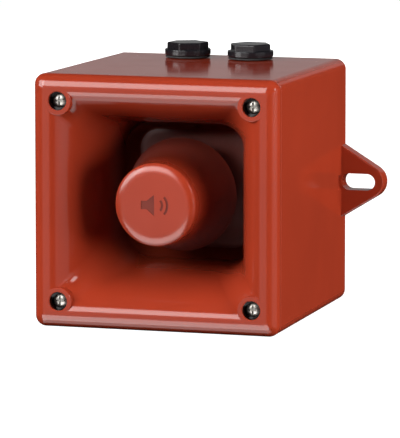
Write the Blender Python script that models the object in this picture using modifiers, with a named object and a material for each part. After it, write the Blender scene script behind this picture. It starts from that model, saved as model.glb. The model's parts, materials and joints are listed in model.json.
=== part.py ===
"""Alarm siren: a square wall sounder with a re-entrant horn.

The origin is the centre of the face that meets the wall. +X is to the right seen from the front,
+Z is up, and the horn faces -Y. Most pieces are made in a turned frame, in which local X stays
world X, local Y is world +Z, and local Z runs forwards from the wall, towards world -Y.
Lengths are in metres. "Depth" is measured back from the front face, "forward" from the wall.
"""

import math

import bmesh
import bpy
from mathutils import Matrix, Vector

# Casing
FRONT_WIDTH = 0.134
REAR_WIDTH = 0.132
CASE_DEPTH = 0.136
EDGE_RADIUS = 0.0057
FRONT_RADIUS = 0.0060
FRONT_CORNER = 0.0012
REAR_RADIUS = 0.0008
WALL = 0.003
BACK_WALL = 0.0035
SEAM_DEPTH = 0.008
GAP = 0.0003
CORNER_STEPS = 4

# Gasket between the mouldings: the front's rib presses a seal onto the housing's ledge
LEDGE_HALF = 0.0609
LEDGE_DEPTHS = (0.0092, 0.0115)
RIB_HALF = 0.0626
RIB_DEPTHS = (0.0020, 0.0061)
SEAL_HALF = 0.0631
SEAL_DEPTHS = (0.0064, 0.0089)
GASKET_CORNER = 0.003

# Horn flare: a square trumpet that closes in on FLARE_END as it goes deeper
FLARE_MOUTH = 0.0572
FLARE_END = 0.0329
FLARE_LENGTH = 0.014
FLARE_DEPTH = 0.075
FLARE_CORNER = 0.010
FLARE_WALL = 0.003

# Cover screws, in a square
SCREW_OFFSET = 0.053
BOSS_RADIUS = 0.0075
BOSS_LENGTH = 0.010
COUNTERBORE_RADIUS = 0.00485
COUNTERBORE_DEPTH = 0.0065
SCREW_HEAD_RADIUS = 0.0039
SCREW_HEAD_HEIGHT = 0.0028
SCREW_RADIUS = 0.002
SCREW_LENGTH = 0.0148
RECESS_HALF_LENGTH = 0.0023
RECESS_HALF_WIDTH = 0.0005
BORE_CLEARANCE = 0.00035

# Housing pillars, with a brass insert in each
PILLAR_RADIUS = 0.0065
INSERT_RADIUS = 0.003
INSERT_BORE = 0.0024
INSERT_LENGTH = 0.008
INSERT_DEPTH = 0.0122
INSERT_BORE_DEPTH = 0.024
WEB_REACH = (0.055, 0.0648)
WEB_THICKNESS = (0.0517, 0.0543)

# Wall lugs
LUG_THICKNESS = 0.0095
LUG_ROOT = 0.0197
LUG_TIP_X = 0.0805
LUG_TIP_RADIUS = 0.0092
SLOT_RADIUS = 0.0045
SLOT_INNER_X = 0.0706
SCALLOP_RADIUS = 0.0060
SCALLOP_LENGTH = 0.006

# Cable entries on top
ENTRY_X = 0.0178
ENTRY_FORWARD = 0.0204
ENTRY_RADIUS = 0.01025
ENTRY_BOSS_RADIUS = 0.0135
ENTRY_BOSS_HEIGHTS = (0.0585, 0.0645)
PLUG_SHANK_RADIUS = 0.0099
PLUG_SHANK_LENGTH = 0.008
PLUG_BORE = 0.0078
PLUG_BORE_TOP = 0.0025
PLUG_FLANGE_RADIUS = 0.0125
PLUG_FLANGE_LOW = 0.00175
PLUG_FLANGE_TOP = 0.005
PLUG_TOP = 0.0087
PLUG_HEX_RADIUS = 0.0115
PLUG_HEX_ANGLES = {"1": math.radians(23), "2": math.radians(-3)}
SEAL_RADII = (0.0103, 0.0122)
SEAL_LOW = 0.0004

# Bell and sound tube
CAP_DEPTH = 0.001
CAP_RADIUS = 0.022
CAP_EDGE = 0.0028
BELL_DEPTH = 0.050
BELL_RADIUS = 0.0303
BELL_WALL = 0.0021
TUBE_RADIUS = 0.0112
TUBE_BORE = 0.0085
TUBE_DEPTH = 0.016
TUBE_FLANGE_RADIUS = 0.026
TUBE_FLANGE_DEPTHS = (0.0783, 0.0813)
FIN_DEPTHS = (0.018, 0.034)
FIN_RADII = (0.0100, 0.0203)
FIN_HALF_THICKNESS = 0.0012
FIN_COUNT = 3

# Pictogram sunk into the cap: a loudspeaker and its waves
MARK_DEPTH = 0.0004
WAVE_RADII = (0.0039, 0.0067)
WAVE_WIDTH = 0.0012
WAVE_X = 0.0005
WAVE_ANGLE = 42

# Driver, as depths behind the front face
DRIVER_SCREW_OFFSET = 0.0219
DRIVER_BOSS_RADIUS = 0.004
DRIVER_BOSS_DEPTHS = (0.0765, 0.0828)
DRIVER_PILOT_RADIUS = 0.00235
PLATE_DEPTH = 0.0831
PLATE_THICKNESS = 0.0049
PLATE_RADIUS = 0.036
RING_DEPTH = 0.0883
DOME_DEPTH = 0.0902
DOME_RADIUS = 0.015
DOME_RISE = 0.0034
DOME_THICKNESS = 0.0005
TOP_PLATE_DEPTH = 0.092
TOP_PLATE_BACK = 0.096
MAGNET_BACK = 0.1063
YOKE_DEPTHS = (0.1066, 0.1106)
POLE_RADIUS = 0.0116
VOICE_COIL_RADII = (0.0122, 0.013)
VOICE_COIL_LENGTH = 0.0065
LEAD_RADIUS = 0.00065

# Circuit board
BOARD_FRONT = 0.012
BOARD_THICKNESS = 0.0016
BOARD_X = 0.054
BOARD_LOW = -0.044
BOARD_HIGH = 0.040
BOARD_SCREWS = [(-0.049, -0.039), (-0.049, 0.035), (0.049, 0.035)]
BOARD_PILLAR_RADIUS = 0.0035
BOARD_HOLE_RADIUS = 0.0018
BOARD_PILOT_END = 0.0055
CONNECTOR_X = 0.042
CONNECTOR_Z = 0.022
PIN_PITCH = 0.00254
PIN_SIDE = 0.00064
TERMINAL_PITCH = 0.00508
TERMINAL_COUNT = 4
TERMINAL_SCREW_Z = 0.0332
TONE_SWITCHES = 5
TONE_SWITCH_Z = 0.010
VOLUME_CENTRE = (-0.040, -0.007)
CAPACITOR_RADIUS = 0.006
CAPACITOR_TOP = 0.0283
CAPACITORS = [(0.024, -0.034), (0.038, -0.034)]

TURNED = (math.radians(90), 0, 0)
ROUND_ANGLE = math.radians(35)


def clear_scene():
    for old in list(bpy.data.objects):
        bpy.data.objects.remove(old, do_unlink=True)


def collection(name, hidden=False):
    made = bpy.data.collections.new(name)
    bpy.context.scene.collection.children.link(made)
    made.hide_render = hidden
    return made


clear_scene()
PARTS = collection("alarm_siren")
CUTTERS = collection("cutters", hidden=True)


def material(name, colour, roughness, metallic=0.0):
    made = bpy.data.materials.new(name)
    made.use_nodes = True
    shader = made.node_tree.nodes["Principled BSDF"]
    shader.inputs["Base Color"].default_value = (*colour, 1)
    shader.inputs["Roughness"].default_value = roughness
    shader.inputs["Metallic"].default_value = metallic
    return made


RED_PLASTIC = material("red_plastic", (0.42, 0.055, 0.024), 0.35)
BLACK_PLASTIC = material("black_plastic", (0.016, 0.016, 0.018), 0.4)
BLACK_RUBBER = material("black_rubber", (0.02, 0.02, 0.02), 0.75)
GREY_SILICONE = material("grey_silicone", (0.3, 0.3, 0.3), 0.6)
WHITE_NYLON = material("white_nylon", (0.75, 0.74, 0.7), 0.45)
STAINLESS = material("stainless_steel", (0.6, 0.59, 0.57), 0.25, 1.0)
BRASS = material("brass", (0.72, 0.5, 0.2), 0.3, 1.0)
PLATED_STEEL = material("plated_steel", (0.55, 0.55, 0.56), 0.35, 1.0)
CAST_ZINC = material("cast_zinc", (0.42, 0.42, 0.44), 0.5, 0.9)
ALUMINIUM = material("aluminium", (0.65, 0.66, 0.68), 0.35, 1.0)
FERRITE = material("ferrite", (0.035, 0.035, 0.038), 0.65)
COPPER = material("copper_winding", (0.6, 0.22, 0.09), 0.35, 0.9)
PHENOLIC = material("phenolic", (0.3, 0.16, 0.07), 0.5)
BOARD_GREEN = material("board_green", (0.02, 0.12, 0.05), 0.4)
BLUE_PLASTIC = material("blue_plastic", (0.02, 0.09, 0.3), 0.4)
GREEN_PLASTIC = material("green_plastic", (0.03, 0.22, 0.08), 0.4)
LAMINATION = material("lamination", (0.2, 0.2, 0.21), 0.5, 0.8)
LEAD_RED = material("lead_red", (0.5, 0.02, 0.02), 0.45)
LEAD_BLACK = material("lead_black", (0.015, 0.015, 0.015), 0.45)


# Helpers


def at(x, forward, z):
    return Vector((x, -forward, z))


def forward_of(depth):
    return CASE_DEPTH - depth


def span_of(depths):
    """The forward span, back to front, between a near and a far depth."""
    near, far = depths
    return forward_of(far), forward_of(near)


def case_half(forward):
    """Half the casing's width, which grows from the wall to the front."""
    return (REAR_WIDTH + (FRONT_WIDTH - REAR_WIDTH) * forward / CASE_DEPTH) / 2


def place(name, mesh, look=None, location=(0, 0, 0), rotation=TURNED):
    """Adds the object that holds this mesh."""
    made = bpy.data.objects.new(name, mesh)
    made.location = location
    made.rotation_euler = rotation
    if look:
        mesh.materials.append(look)
        PARTS.objects.link(made)
    else:
        CUTTERS.objects.link(made)
        made.hide_render = True
        made.display_type = "WIRE"
    return made


def from_bmesh(name, bm, look=None, location=(0, 0, 0), rotation=TURNED):
    mesh = bpy.data.meshes.new(name)
    bm.to_mesh(mesh)
    bm.free()
    return place(name, mesh, look, location, rotation)


def add_bevel(thing, width, segments=2):
    modifier = thing.modifiers.new("bevel", "BEVEL")
    modifier.width = width
    modifier.segments = segments
    modifier.limit_method = "ANGLE"
    modifier.angle_limit = ROUND_ANGLE
    return thing


def boolean(target, operation, *others):
    for other in others:
        modifier = target.modifiers.new(other.name, "BOOLEAN")
        modifier.operation = operation
        modifier.object = other
    return target


def cut(target, *others):
    return boolean(target, "DIFFERENCE", *others)


def join(target, *others):
    return boolean(target, "UNION", *others)


def box(name, x, forward, z, look=None, bevel=0):
    """A box between the two values of each pair, with its origin at its centre."""
    size = (x[1] - x[0], forward[1] - forward[0], z[1] - z[0])
    centre = at(sum(x) / 2, sum(forward) / 2, sum(z) / 2)
    bm = bmesh.new()
    bmesh.ops.create_cube(bm, size=1)
    bmesh.ops.scale(bm, vec=size, verts=bm.verts)
    made = from_bmesh(name, bm, look, centre, (0, 0, 0))
    return add_bevel(made, bevel, 1) if bevel else made


def boxes(name, spans):
    """Several boxes in one cutter; each span holds x, forward and z pairs, and none overlap."""
    bm = bmesh.new()
    for x, forward, z in spans:
        size = (x[1] - x[0], forward[1] - forward[0], z[1] - z[0])
        matrix = Matrix.Translation(at(sum(x) / 2, sum(forward) / 2, sum(z) / 2))
        bmesh.ops.create_cube(bm, size=1, matrix=matrix @ Matrix.Diagonal((*size, 1)))
    return from_bmesh(name, bm, rotation=(0, 0, 0))


def cylinders(name, radius, forward, centres, look=None, segments=20):
    """Cylinders that run forwards, one on each (x, z) centre."""
    bm = bmesh.new()
    for x, z in centres:
        bmesh.ops.create_cone(
            bm,
            cap_ends=True,
            segments=segments,
            radius1=radius,
            radius2=radius,
            depth=forward[1] - forward[0],
            matrix=Matrix.Translation((x, z, sum(forward) / 2)),
        )
    return from_bmesh(name, bm, look)


def turned(name, profile, look=None, closed=False, steps=20, location=(0, 0, 0), rotation=TURNED):
    """Turns (radius, height) points, given down the outer side, about the local Z axis."""
    mesh = bpy.data.meshes.new(name)
    count = len(profile)
    edges = [(i, (i + 1) % count) for i in range(count if closed else count - 1)]
    mesh.from_pydata([(radius, 0, height) for radius, height in profile], edges, [])
    made = place(name, mesh, look, location, rotation)
    screw = made.modifiers.new("turn", "SCREW")
    screw.axis = "Z"
    screw.angle = math.tau
    screw.steps = steps
    screw.render_steps = steps
    screw.use_merge_vertices = True
    screw.merge_threshold = 0.00001
    return made


def ring(name, inner, outer, forward, look, steps=20):
    back, front = forward
    profile = [(outer, front), (outer, back), (inner, back), (inner, front)]
    return turned(name, profile, look, closed=True, steps=steps)


def rounded_square(half, corner):
    """Points of a square with round corners, anticlockwise."""
    points = []
    for quarter in range(4):
        start = math.pi / 2 * quarter
        turn = Matrix.Rotation(start, 2)
        centre = turn @ Vector((half - corner, half - corner))
        for step in range(CORNER_STEPS + 1):
            angle = start + math.pi / 2 * step / CORNER_STEPS
            points.append(centre + corner * Vector((math.cos(angle), math.sin(angle))))
    return points


def loft(name, sections, look=None):
    """Joins rounded squares, each (forward, half width, corner radius), into one solid."""
    bm = bmesh.new()
    rings = []
    for forward, half, corner in sections:
        rings.append([bm.verts.new((*point, forward)) for point in rounded_square(half, corner)])
    for lower, upper in zip(rings, rings[1:]):
        for i in range(len(lower)):
            bm.faces.new((lower[i - 1], lower[i], upper[i], upper[i - 1]))
    bm.faces.new(reversed(rings[0]))
    bm.faces.new(rings[-1])
    bmesh.ops.recalc_face_normals(bm, faces=bm.faces)
    return from_bmesh(name, bm, look)


def square_ring(name, inner, outer, forward, corner, look=None):
    """A square frame of rectangular section."""
    back, front = forward
    frame = loft(name, [(back, outer, corner), (front, outer, corner)], look)
    hole = [(back - WALL, inner, corner / 2), (front + WALL, inner, corner / 2)]
    return cut(frame, loft(name + "_hole", hole))


def evaluated_mesh(thing):
    bpy.context.view_layer.update()
    graph = bpy.context.evaluated_depsgraph_get()
    return bpy.data.meshes.new_from_object(thing.evaluated_get(graph))


def plate(name, outline, thickness, look=None, location=(0, 0, 0)):
    """A flat outline in X and Z, given as one closed loop, with this thickness along Y."""
    curve = bpy.data.curves.new(name, "CURVE")
    curve.dimensions = "2D"
    curve.fill_mode = "BOTH"
    curve.extrude = thickness / 2
    spline = curve.splines.new("POLY")
    spline.points.add(len(outline) - 1)
    for point, (x, z) in zip(spline.points, outline):
        point.co = (x, z, 0, 1)
    spline.use_cyclic_u = True
    drawn = place(name + "_outline", curve)
    bm = bmesh.new()
    bm.from_mesh(evaluated_mesh(drawn))
    bmesh.ops.remove_doubles(bm, verts=bm.verts, dist=0.00001)
    bmesh.ops.recalc_face_normals(bm, faces=bm.faces)
    bpy.data.objects.remove(drawn)
    return from_bmesh(name, bm, look, location)


def copies(name, pattern, centres, look):
    """Numbered objects that share the pattern's mesh, one on each (x, z) centre."""
    shape = evaluated_mesh(pattern)
    shape.materials.clear()
    shape.materials.append(look)
    bpy.data.objects.remove(pattern)
    made = []
    for number, (x, z) in enumerate(centres, 1):
        thing = bpy.data.objects.new(f"{name}_{number}", shape)
        thing.location = at(x, 0, z)
        thing.rotation_euler = TURNED
        PARTS.objects.link(thing)
        made.append(thing)
    return made


def corners(offset):
    """The four (x, z) corners of a square pattern."""
    return [(x, z) for x in (-offset, offset) for z in (-offset, offset)]


def arc(centre, radius, start, end, steps):
    """Points along an arc, with angles in degrees."""
    angles = [math.radians(start + (end - start) * i / steps) for i in range(steps + 1)]
    return [(centre[0] + radius * math.cos(a), centre[1] + radius * math.sin(a)) for a in angles]


def slot_outline(left, right, radius):
    return arc((right, 0), radius, -90, 90, 8) + arc((left, 0), radius, 90, 270, 8)


# Casing


def edge_sections(front, half, corner, radius):
    """Sections of a quarter-round edge, whose corners tighten to FRONT_CORNER at the front face."""
    steps = 4
    found = []
    for step in range(steps + 1):
        angle = math.pi / 2 * step / steps
        inset = radius * (1 - math.cos(angle))
        tightened = corner + (FRONT_CORNER - corner) * inset / radius
        found.append((front - radius + radius * math.sin(angle), half - inset, tightened))
    return found


def flare_half(depth):
    return FLARE_END + (FLARE_MOUTH - FLARE_END) / (1 + depth / FLARE_LENGTH)


def flare_slope(depth):
    return (FLARE_MOUTH - FLARE_END) / FLARE_LENGTH / (1 + depth / FLARE_LENGTH) ** 2


def flare_loft(name, depths, wall=0.0):
    """The flare's inner surface as a solid, or its outer one at a wall thickness."""
    sections = []
    for depth in depths:
        half = flare_half(depth) + wall * math.hypot(1, flare_slope(depth))
        sections.append((forward_of(depth), half, FLARE_CORNER + wall))
    return loft(name, sections)


def front_horn():
    front = CASE_DEPTH
    seam = forward_of(SEAM_DEPTH - GAP / 2)
    half = case_half(front)
    sections = [(seam, case_half(seam), EDGE_RADIUS)]
    sections += edge_sections(front, half, EDGE_RADIUS, FRONT_RADIUS)
    horn = loft("front_horn", sections, RED_PLASTIC)
    channel_half = case_half(seam) - WALL - GAP
    channel = [(forward, channel_half, EDGE_RADIUS - WALL) for forward in (seam - WALL, front - WALL)]
    cut(horn, loft("horn_channel", channel))
    outside = (0.0022, 0.005, 0.009, 0.015, 0.025, 0.045, FLARE_DEPTH + WALL)
    join(horn, flare_loft("horn_outside", outside, FLARE_WALL))
    join(horn, square_ring("gasket_rib", LEDGE_HALF, RIB_HALF, span_of(RIB_DEPTHS), GASKET_CORNER))
    inside = (-0.001, 0.0, 0.0013, 0.003, 0.0055, 0.009, 0.015, 0.024, 0.038, 0.055, FLARE_DEPTH)
    cut(horn, flare_loft("horn_inside", inside))
    boss = (forward_of(BOSS_LENGTH), front)
    join(horn, cylinders("horn_bosses", BOSS_RADIUS, boss, corners(SCREW_OFFSET)))
    counterbore = (forward_of(COUNTERBORE_DEPTH), front + WALL)
    cut(horn, cylinders("counterbores", COUNTERBORE_RADIUS, counterbore, corners(SCREW_OFFSET)))
    screw_hole = (forward_of(BOSS_LENGTH) - WALL, front)
    radius = SCREW_RADIUS + BORE_CLEARANCE
    cut(horn, cylinders("screw_holes", radius, screw_hole, corners(SCREW_OFFSET), segments=16))
    centres = corners(DRIVER_SCREW_OFFSET)
    bosses = span_of(DRIVER_BOSS_DEPTHS)
    join(horn, cylinders("driver_bosses", DRIVER_BOSS_RADIUS, bosses, centres, segments=16))
    pilots = (bosses[0] - 0.0012, bosses[1] + 0.0002)
    cut(horn, cylinders("driver_pilots", DRIVER_PILOT_RADIUS, pilots, centres, segments=12))
    throat = (forward_of(FLARE_DEPTH) - 0.005, forward_of(FLARE_DEPTH) + 0.005)
    cut(horn, cylinders("horn_throat", TUBE_RADIUS + 0.0004, throat, [(0, 0)]))
    return horn


def lug_outline(side):
    """From inside the side wall, out round the tip and back, for side +1 or -1."""
    root_x = REAR_WIDTH / 2
    reach = math.hypot(LUG_TIP_X - root_x, LUG_ROOT)
    lean = math.degrees(math.asin(LUG_TIP_RADIUS / reach) + math.atan2(LUG_TIP_X - root_x, LUG_ROOT))
    points = [(root_x - WALL / 2, -LUG_ROOT), (root_x, -LUG_ROOT)]
    points += arc((LUG_TIP_X, 0), LUG_TIP_RADIUS, -lean, lean, 12)
    points += [(root_x, LUG_ROOT), (root_x - WALL / 2, LUG_ROOT)]
    return [(side * x, z) for x, z in points]


def rear_housing():
    seam = forward_of(SEAM_DEPTH + GAP / 2)
    rear_half = case_half(0)
    sections = [
        (0, rear_half - REAR_RADIUS, EDGE_RADIUS - REAR_RADIUS),
        (REAR_RADIUS, case_half(REAR_RADIUS), EDGE_RADIUS),
        (seam, case_half(seam), EDGE_RADIUS),
    ]
    housing = loft("rear_housing", sections, RED_PLASTIC)
    for side, word in ((1, "right"), (-1, "left")):
        middle = at(0, LUG_THICKNESS / 2, 0)
        join(housing, plate("lug_" + word, lug_outline(side), LUG_THICKNESS, location=middle))
    inside = [
        (BACK_WALL, case_half(BACK_WALL) - WALL, EDGE_RADIUS - WALL),
        (CASE_DEPTH, case_half(CASE_DEPTH) - WALL, EDGE_RADIUS - WALL),
    ]
    cut(housing, loft("housing_inside", inside))
    ledge = (LEDGE_HALF, case_half(seam) - WALL / 2, span_of(LEDGE_DEPTHS))
    join(housing, square_ring("gasket_ledge", *ledge, GASKET_CORNER))
    pillar = (BACK_WALL / 2, forward_of(BOSS_LENGTH + GAP))
    join(housing, cylinders("screw_pillars", PILLAR_RADIUS, pillar, corners(SCREW_OFFSET)))
    join(housing, boxes("pillar_webs", pillar_webs()))
    bore = (forward_of(INSERT_BORE_DEPTH), CASE_DEPTH)
    radius = INSERT_RADIUS + BORE_CLEARANCE
    cut(housing, cylinders("insert_bores", radius, bore, corners(SCREW_OFFSET), segments=16))
    stand = (BACK_WALL / 2, BOARD_FRONT - BOARD_THICKNESS - GAP)
    join(housing, cylinders("board_pillars", BOARD_PILLAR_RADIUS, stand, BOARD_SCREWS, segments=16))
    pilot = (BOARD_PILOT_END, BOARD_FRONT)
    cut(housing, cylinders("board_pilots", BOARD_HOLE_RADIUS, pilot, BOARD_SCREWS, segments=12))
    entries = [(x, -ENTRY_FORWARD) for x in (-ENTRY_X, ENTRY_X)]
    join(housing, upright_cylinders("entry_bosses", ENTRY_BOSS_RADIUS, ENTRY_BOSS_HEIGHTS, entries))
    cut(housing, upright_cylinders("entry_holes", ENTRY_RADIUS, (0.050, 0.080), entries))
    for side, word in ((1, "right"), (-1, "left")):
        outline = slot_outline(SLOT_INNER_X, LUG_TIP_X, SLOT_RADIUS)
        outline = [(side * x, z) for x, z in outline]
        cut(housing, plate("slot_" + word, outline, 3 * LUG_THICKNESS))
        scallop = (LUG_THICKNESS, LUG_THICKNESS + SCALLOP_LENGTH)
        cut(housing, cylinders("scallop_" + word, SCALLOP_RADIUS, scallop, [(side * SLOT_INNER_X, 0)]))
    return housing


def pillar_webs():
    """Two webs from each screw pillar to the nearest walls."""
    spans = []
    forward = (BACK_WALL / 2, forward_of(BOSS_LENGTH + 2 * GAP))
    for side_x, side_z in corners(1):
        for x, z in ((WEB_REACH, WEB_THICKNESS), (WEB_THICKNESS, WEB_REACH)):
            span_x = sorted(side_x * value for value in x)
            span_z = sorted(side_z * value for value in z)
            spans.append((span_x, forward, span_z))
    return spans


def upright_cylinders(name, radius, heights, centres, segments=24):
    """Cylinders that stand along Z, one on each (x, y) centre."""
    bm = bmesh.new()
    for x, y in centres:
        bmesh.ops.create_cone(
            bm,
            cap_ends=True,
            segments=segments,
            radius1=radius,
            radius2=radius,
            depth=heights[1] - heights[0],
            matrix=Matrix.Translation((x, y, sum(heights) / 2)),
        )
    return from_bmesh(name, bm, rotation=(0, 0, 0))


def casing():
    rear_housing()
    insert = span_of((INSERT_DEPTH, INSERT_DEPTH + INSERT_LENGTH))
    pattern = ring("insert_pattern", INSERT_BORE, INSERT_RADIUS, insert, None, steps=16)
    copies("pillar_insert", pattern, corners(SCREW_OFFSET), BRASS)


def screw_profile(head_radius, head_height, radius, length):
    """A pan head on a plain shank, from the crown down; height 0 is under the head."""
    return [
        (0, head_height),
        (0.6 * head_radius, 0.97 * head_height),
        (0.87 * head_radius, 0.8 * head_height),
        (head_radius, 0.4 * head_height),
        (head_radius, 0),
        (radius, 0),
        (radius, 0.0006 - length),
        (0.7 * radius, -length),
        (0, -length),
    ]


def front_fittings():
    """The front moulding's seal and its captive screws."""
    seat = forward_of(COUNTERBORE_DEPTH - GAP)
    profile = screw_profile(SCREW_HEAD_RADIUS, SCREW_HEAD_HEIGHT, SCREW_RADIUS, SCREW_LENGTH)
    profile = [(radius, height + seat) for radius, height in profile]
    pattern = turned("cover_screw_pattern", profile, steps=12)
    crown = seat + SCREW_HEAD_HEIGHT
    arms = (seat + 0.0014, crown + 0.001)
    long, thin = RECESS_HALF_LENGTH, RECESS_HALF_WIDTH
    cut(pattern, box("recess_across", (-long, long), arms, (-thin, thin)))
    # The second arm is a hair larger, so that no face of it lies on the first one's.
    long, thin = long + 0.00001, thin + 0.00001
    cut(pattern, box("recess_upright", (-thin, thin), arms, (-long, long)))
    screws = copies("cover_screw", pattern, corners(SCREW_OFFSET), STAINLESS)
    seal = square_ring("front_seal", LEDGE_HALF, SEAL_HALF, span_of(SEAL_DEPTHS), 0.0024, GREY_SILICONE)
    return [seal, *screws]


# Horn


def bell_radius(depth):
    """The bell's outer radius: nearly straight behind the cap, then opening towards its rim."""
    reach = max(0, depth - CAP_DEPTH - CAP_EDGE) / (BELL_DEPTH - CAP_DEPTH - CAP_EDGE)
    return CAP_RADIUS + (BELL_RADIUS - CAP_RADIUS) * reach**1.7


def reentrant_bell():
    face = forward_of(CAP_DEPTH)
    profile = [(0, face)]
    corner = (CAP_RADIUS - CAP_EDGE, face - CAP_EDGE)
    profile += arc(corner, CAP_EDGE, 90, 0, 4)
    depths = (0.012, 0.022, 0.032, 0.041, BELL_DEPTH)
    profile += [(bell_radius(depth), forward_of(depth)) for depth in depths]
    profile += [(bell_radius(d) - BELL_WALL, forward_of(d)) for d in reversed(depths)]
    inner = CAP_RADIUS - BELL_WALL
    profile += [(inner, forward_of(0.006)), (inner - 0.003, face - BELL_WALL), (0, face - BELL_WALL)]
    bell = turned("reentrant_bell", profile, RED_PLASTIC, steps=28)
    thickness = 2 * MARK_DEPTH
    sunk = at(0, face, 0)
    cut(bell, plate("pictogram_speaker", speaker_outline(), thickness, location=sunk))
    for radius in WAVE_RADII:
        sector = arc((WAVE_X, 0), radius + WAVE_WIDTH / 2, -WAVE_ANGLE, WAVE_ANGLE, 5)
        sector += arc((WAVE_X, 0), radius - WAVE_WIDTH / 2, WAVE_ANGLE, -WAVE_ANGLE, 5)
        cut(bell, plate("pictogram_wave", sector, thickness, location=sunk))
    return bell


def speaker_outline():
    """A plain loudspeaker pictogram that points to the right."""
    return [
        (-0.0072, -0.0022),
        (-0.0040, -0.0022),
        (0.0, -0.0055),
        (0.0, 0.0055),
        (-0.0040, 0.0022),
        (-0.0072, 0.0022),
    ]


def sound_tube():
    flange = span_of(TUBE_FLANGE_DEPTHS)
    profile = [
        (TUBE_RADIUS, forward_of(TUBE_DEPTH)),
        (TUBE_RADIUS, flange[1]),
        (TUBE_FLANGE_RADIUS, flange[1]),
        (TUBE_FLANGE_RADIUS, flange[0]),
        (TUBE_BORE, flange[0]),
        (TUBE_BORE, forward_of(TUBE_DEPTH)),
    ]
    tube = turned("sound_tube", profile, RED_PLASTIC, closed=True)
    thickness = (-FIN_HALF_THICKNESS, FIN_HALF_THICKNESS)
    for number in range(FIN_COUNT):
        fin = boxes("tube_fin", [(FIN_RADII, span_of(FIN_DEPTHS), thickness)])
        fin.rotation_euler = (0, math.radians(90 + 360 / FIN_COUNT * number), 0)
        join(tube, fin)
    return tube


# Driver


def driver_front_plate():
    back = forward_of(PLATE_DEPTH + PLATE_THICKNESS)
    front = forward_of(PLATE_DEPTH)
    profile = [
        (PLATE_RADIUS, front),
        (PLATE_RADIUS, back),
        (0.0225, back),
        (0.0165, back + 0.0028),
        (0.0100, back + 0.0028),
        (TUBE_BORE, front),
    ]
    made = turned("driver_front_plate", profile, CAST_ZINC, closed=True, steps=24)
    holes = (back - WALL, front + WALL)
    centres = corners(DRIVER_SCREW_OFFSET)
    return cut(made, cylinders("plate_holes", DRIVER_PILOT_RADIUS, holes, centres, segments=12))


def driver():
    gasket = (PLATE_DEPTH - 0.0015, PLATE_DEPTH - GAP)
    surround = (DOME_DEPTH - 0.0004, DOME_DEPTH)
    rings = [
        ("driver_gasket", (0.014, 0.0258), gasket, BLACK_RUBBER),
        ("diaphragm_ring", (0.0195, 0.026), (RING_DEPTH, TOP_PLATE_DEPTH - GAP), BLACK_PLASTIC),
        ("diaphragm_surround", (0.0153, 0.0192), surround, PHENOLIC),
        ("top_plate", (0.0136, 0.0265), (TOP_PLATE_DEPTH, TOP_PLATE_BACK), PLATED_STEEL),
        ("ring_magnet", (0.015, 0.026), (TOP_PLATE_BACK + GAP, MAGNET_BACK), FERRITE),
    ]
    made = [driver_front_plate()]
    made += [ring(name, *radii, span_of(depths), look) for name, radii, depths, look in rings]
    yoke = span_of(YOKE_DEPTHS)
    pole_top = forward_of(0.0915)
    profile = [(0, pole_top), (POLE_RADIUS, pole_top), (POLE_RADIUS, yoke[1])]
    profile += [(0.0255, yoke[1]), (0.0255, yoke[0]), (0, yoke[0])]
    made.append(turned("pole_piece", profile, PLATED_STEEL))
    seat = forward_of(RING_DEPTH)
    profile = screw_profile(SCREW_HEAD_RADIUS, 0.0026, SCREW_RADIUS, 0.011)
    profile = [(radius, seat - height) for radius, height in reversed(profile)]
    pattern = turned("driver_screw_pattern", profile, steps=12)
    made += copies("driver_screw", pattern, corners(DRIVER_SCREW_OFFSET), PLATED_STEEL)
    strip = box("driver_terminals", (0.0272, 0.034), (0.0449, 0.0477), (-0.008, 0.008), BLACK_PLASTIC)
    tags = [((0.0320, 0.038), (0.0440, 0.0453), (z - 0.0015, z + 0.0015)) for z in (-0.005, 0.005)]
    made.append(join(strip, boxes("terminal_tags", tags)))
    return made


def moving_diaphragm():
    """The dome, and the voice coil on its edge."""
    rim = forward_of(DOME_DEPTH)
    bend = (DOME_RADIUS**2 + DOME_RISE**2) / (2 * DOME_RISE)
    steps = 4
    radii = [DOME_RADIUS * step / steps for step in range(steps + 1)]
    outer = [(r, rim + DOME_RISE - bend + math.sqrt(bend**2 - r**2)) for r in radii]
    inner = [(r, height - DOME_THICKNESS) for r, height in reversed(outer)]
    dome = turned("diaphragm_dome", outer + inner, PHENOLIC)
    coil_top = outer[-1][1] - DOME_THICKNESS - GAP
    coil = ring("voice_coil", *VOICE_COIL_RADII, (coil_top - VOICE_COIL_LENGTH, coil_top), COPPER)
    return [dome, coil]


def lead(name, route, look):
    """A wire along a smooth curve through the route's points."""
    points = [at(*point) for point in route]
    points = [2 * points[0] - points[1], *points, 2 * points[-1] - points[-2]]
    steps = 3
    path = []
    for i in range(1, len(points) - 2):
        before, start, end, after = points[i - 1 : i + 3]
        for step in range(steps):
            t = step / steps
            path.append(
                0.5
                * (
                    2 * start
                    + (end - before) * t
                    + (2 * before - 5 * start + 4 * end - after) * t**2
                    + (3 * start - before - 3 * end + after) * t**3
                )
            )
    path.append(points[-2])
    curve = bpy.data.curves.new(name, "CURVE")
    curve.dimensions = "3D"
    curve.bevel_depth = LEAD_RADIUS
    curve.bevel_resolution = 2
    curve.use_fill_caps = True
    spline = curve.splines.new("POLY")
    spline.points.add(len(path) - 1)
    for point, position in zip(spline.points, path):
        point.co = (*position, 1)
    return place(name, curve, look, rotation=(0, 0, 0))


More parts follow.
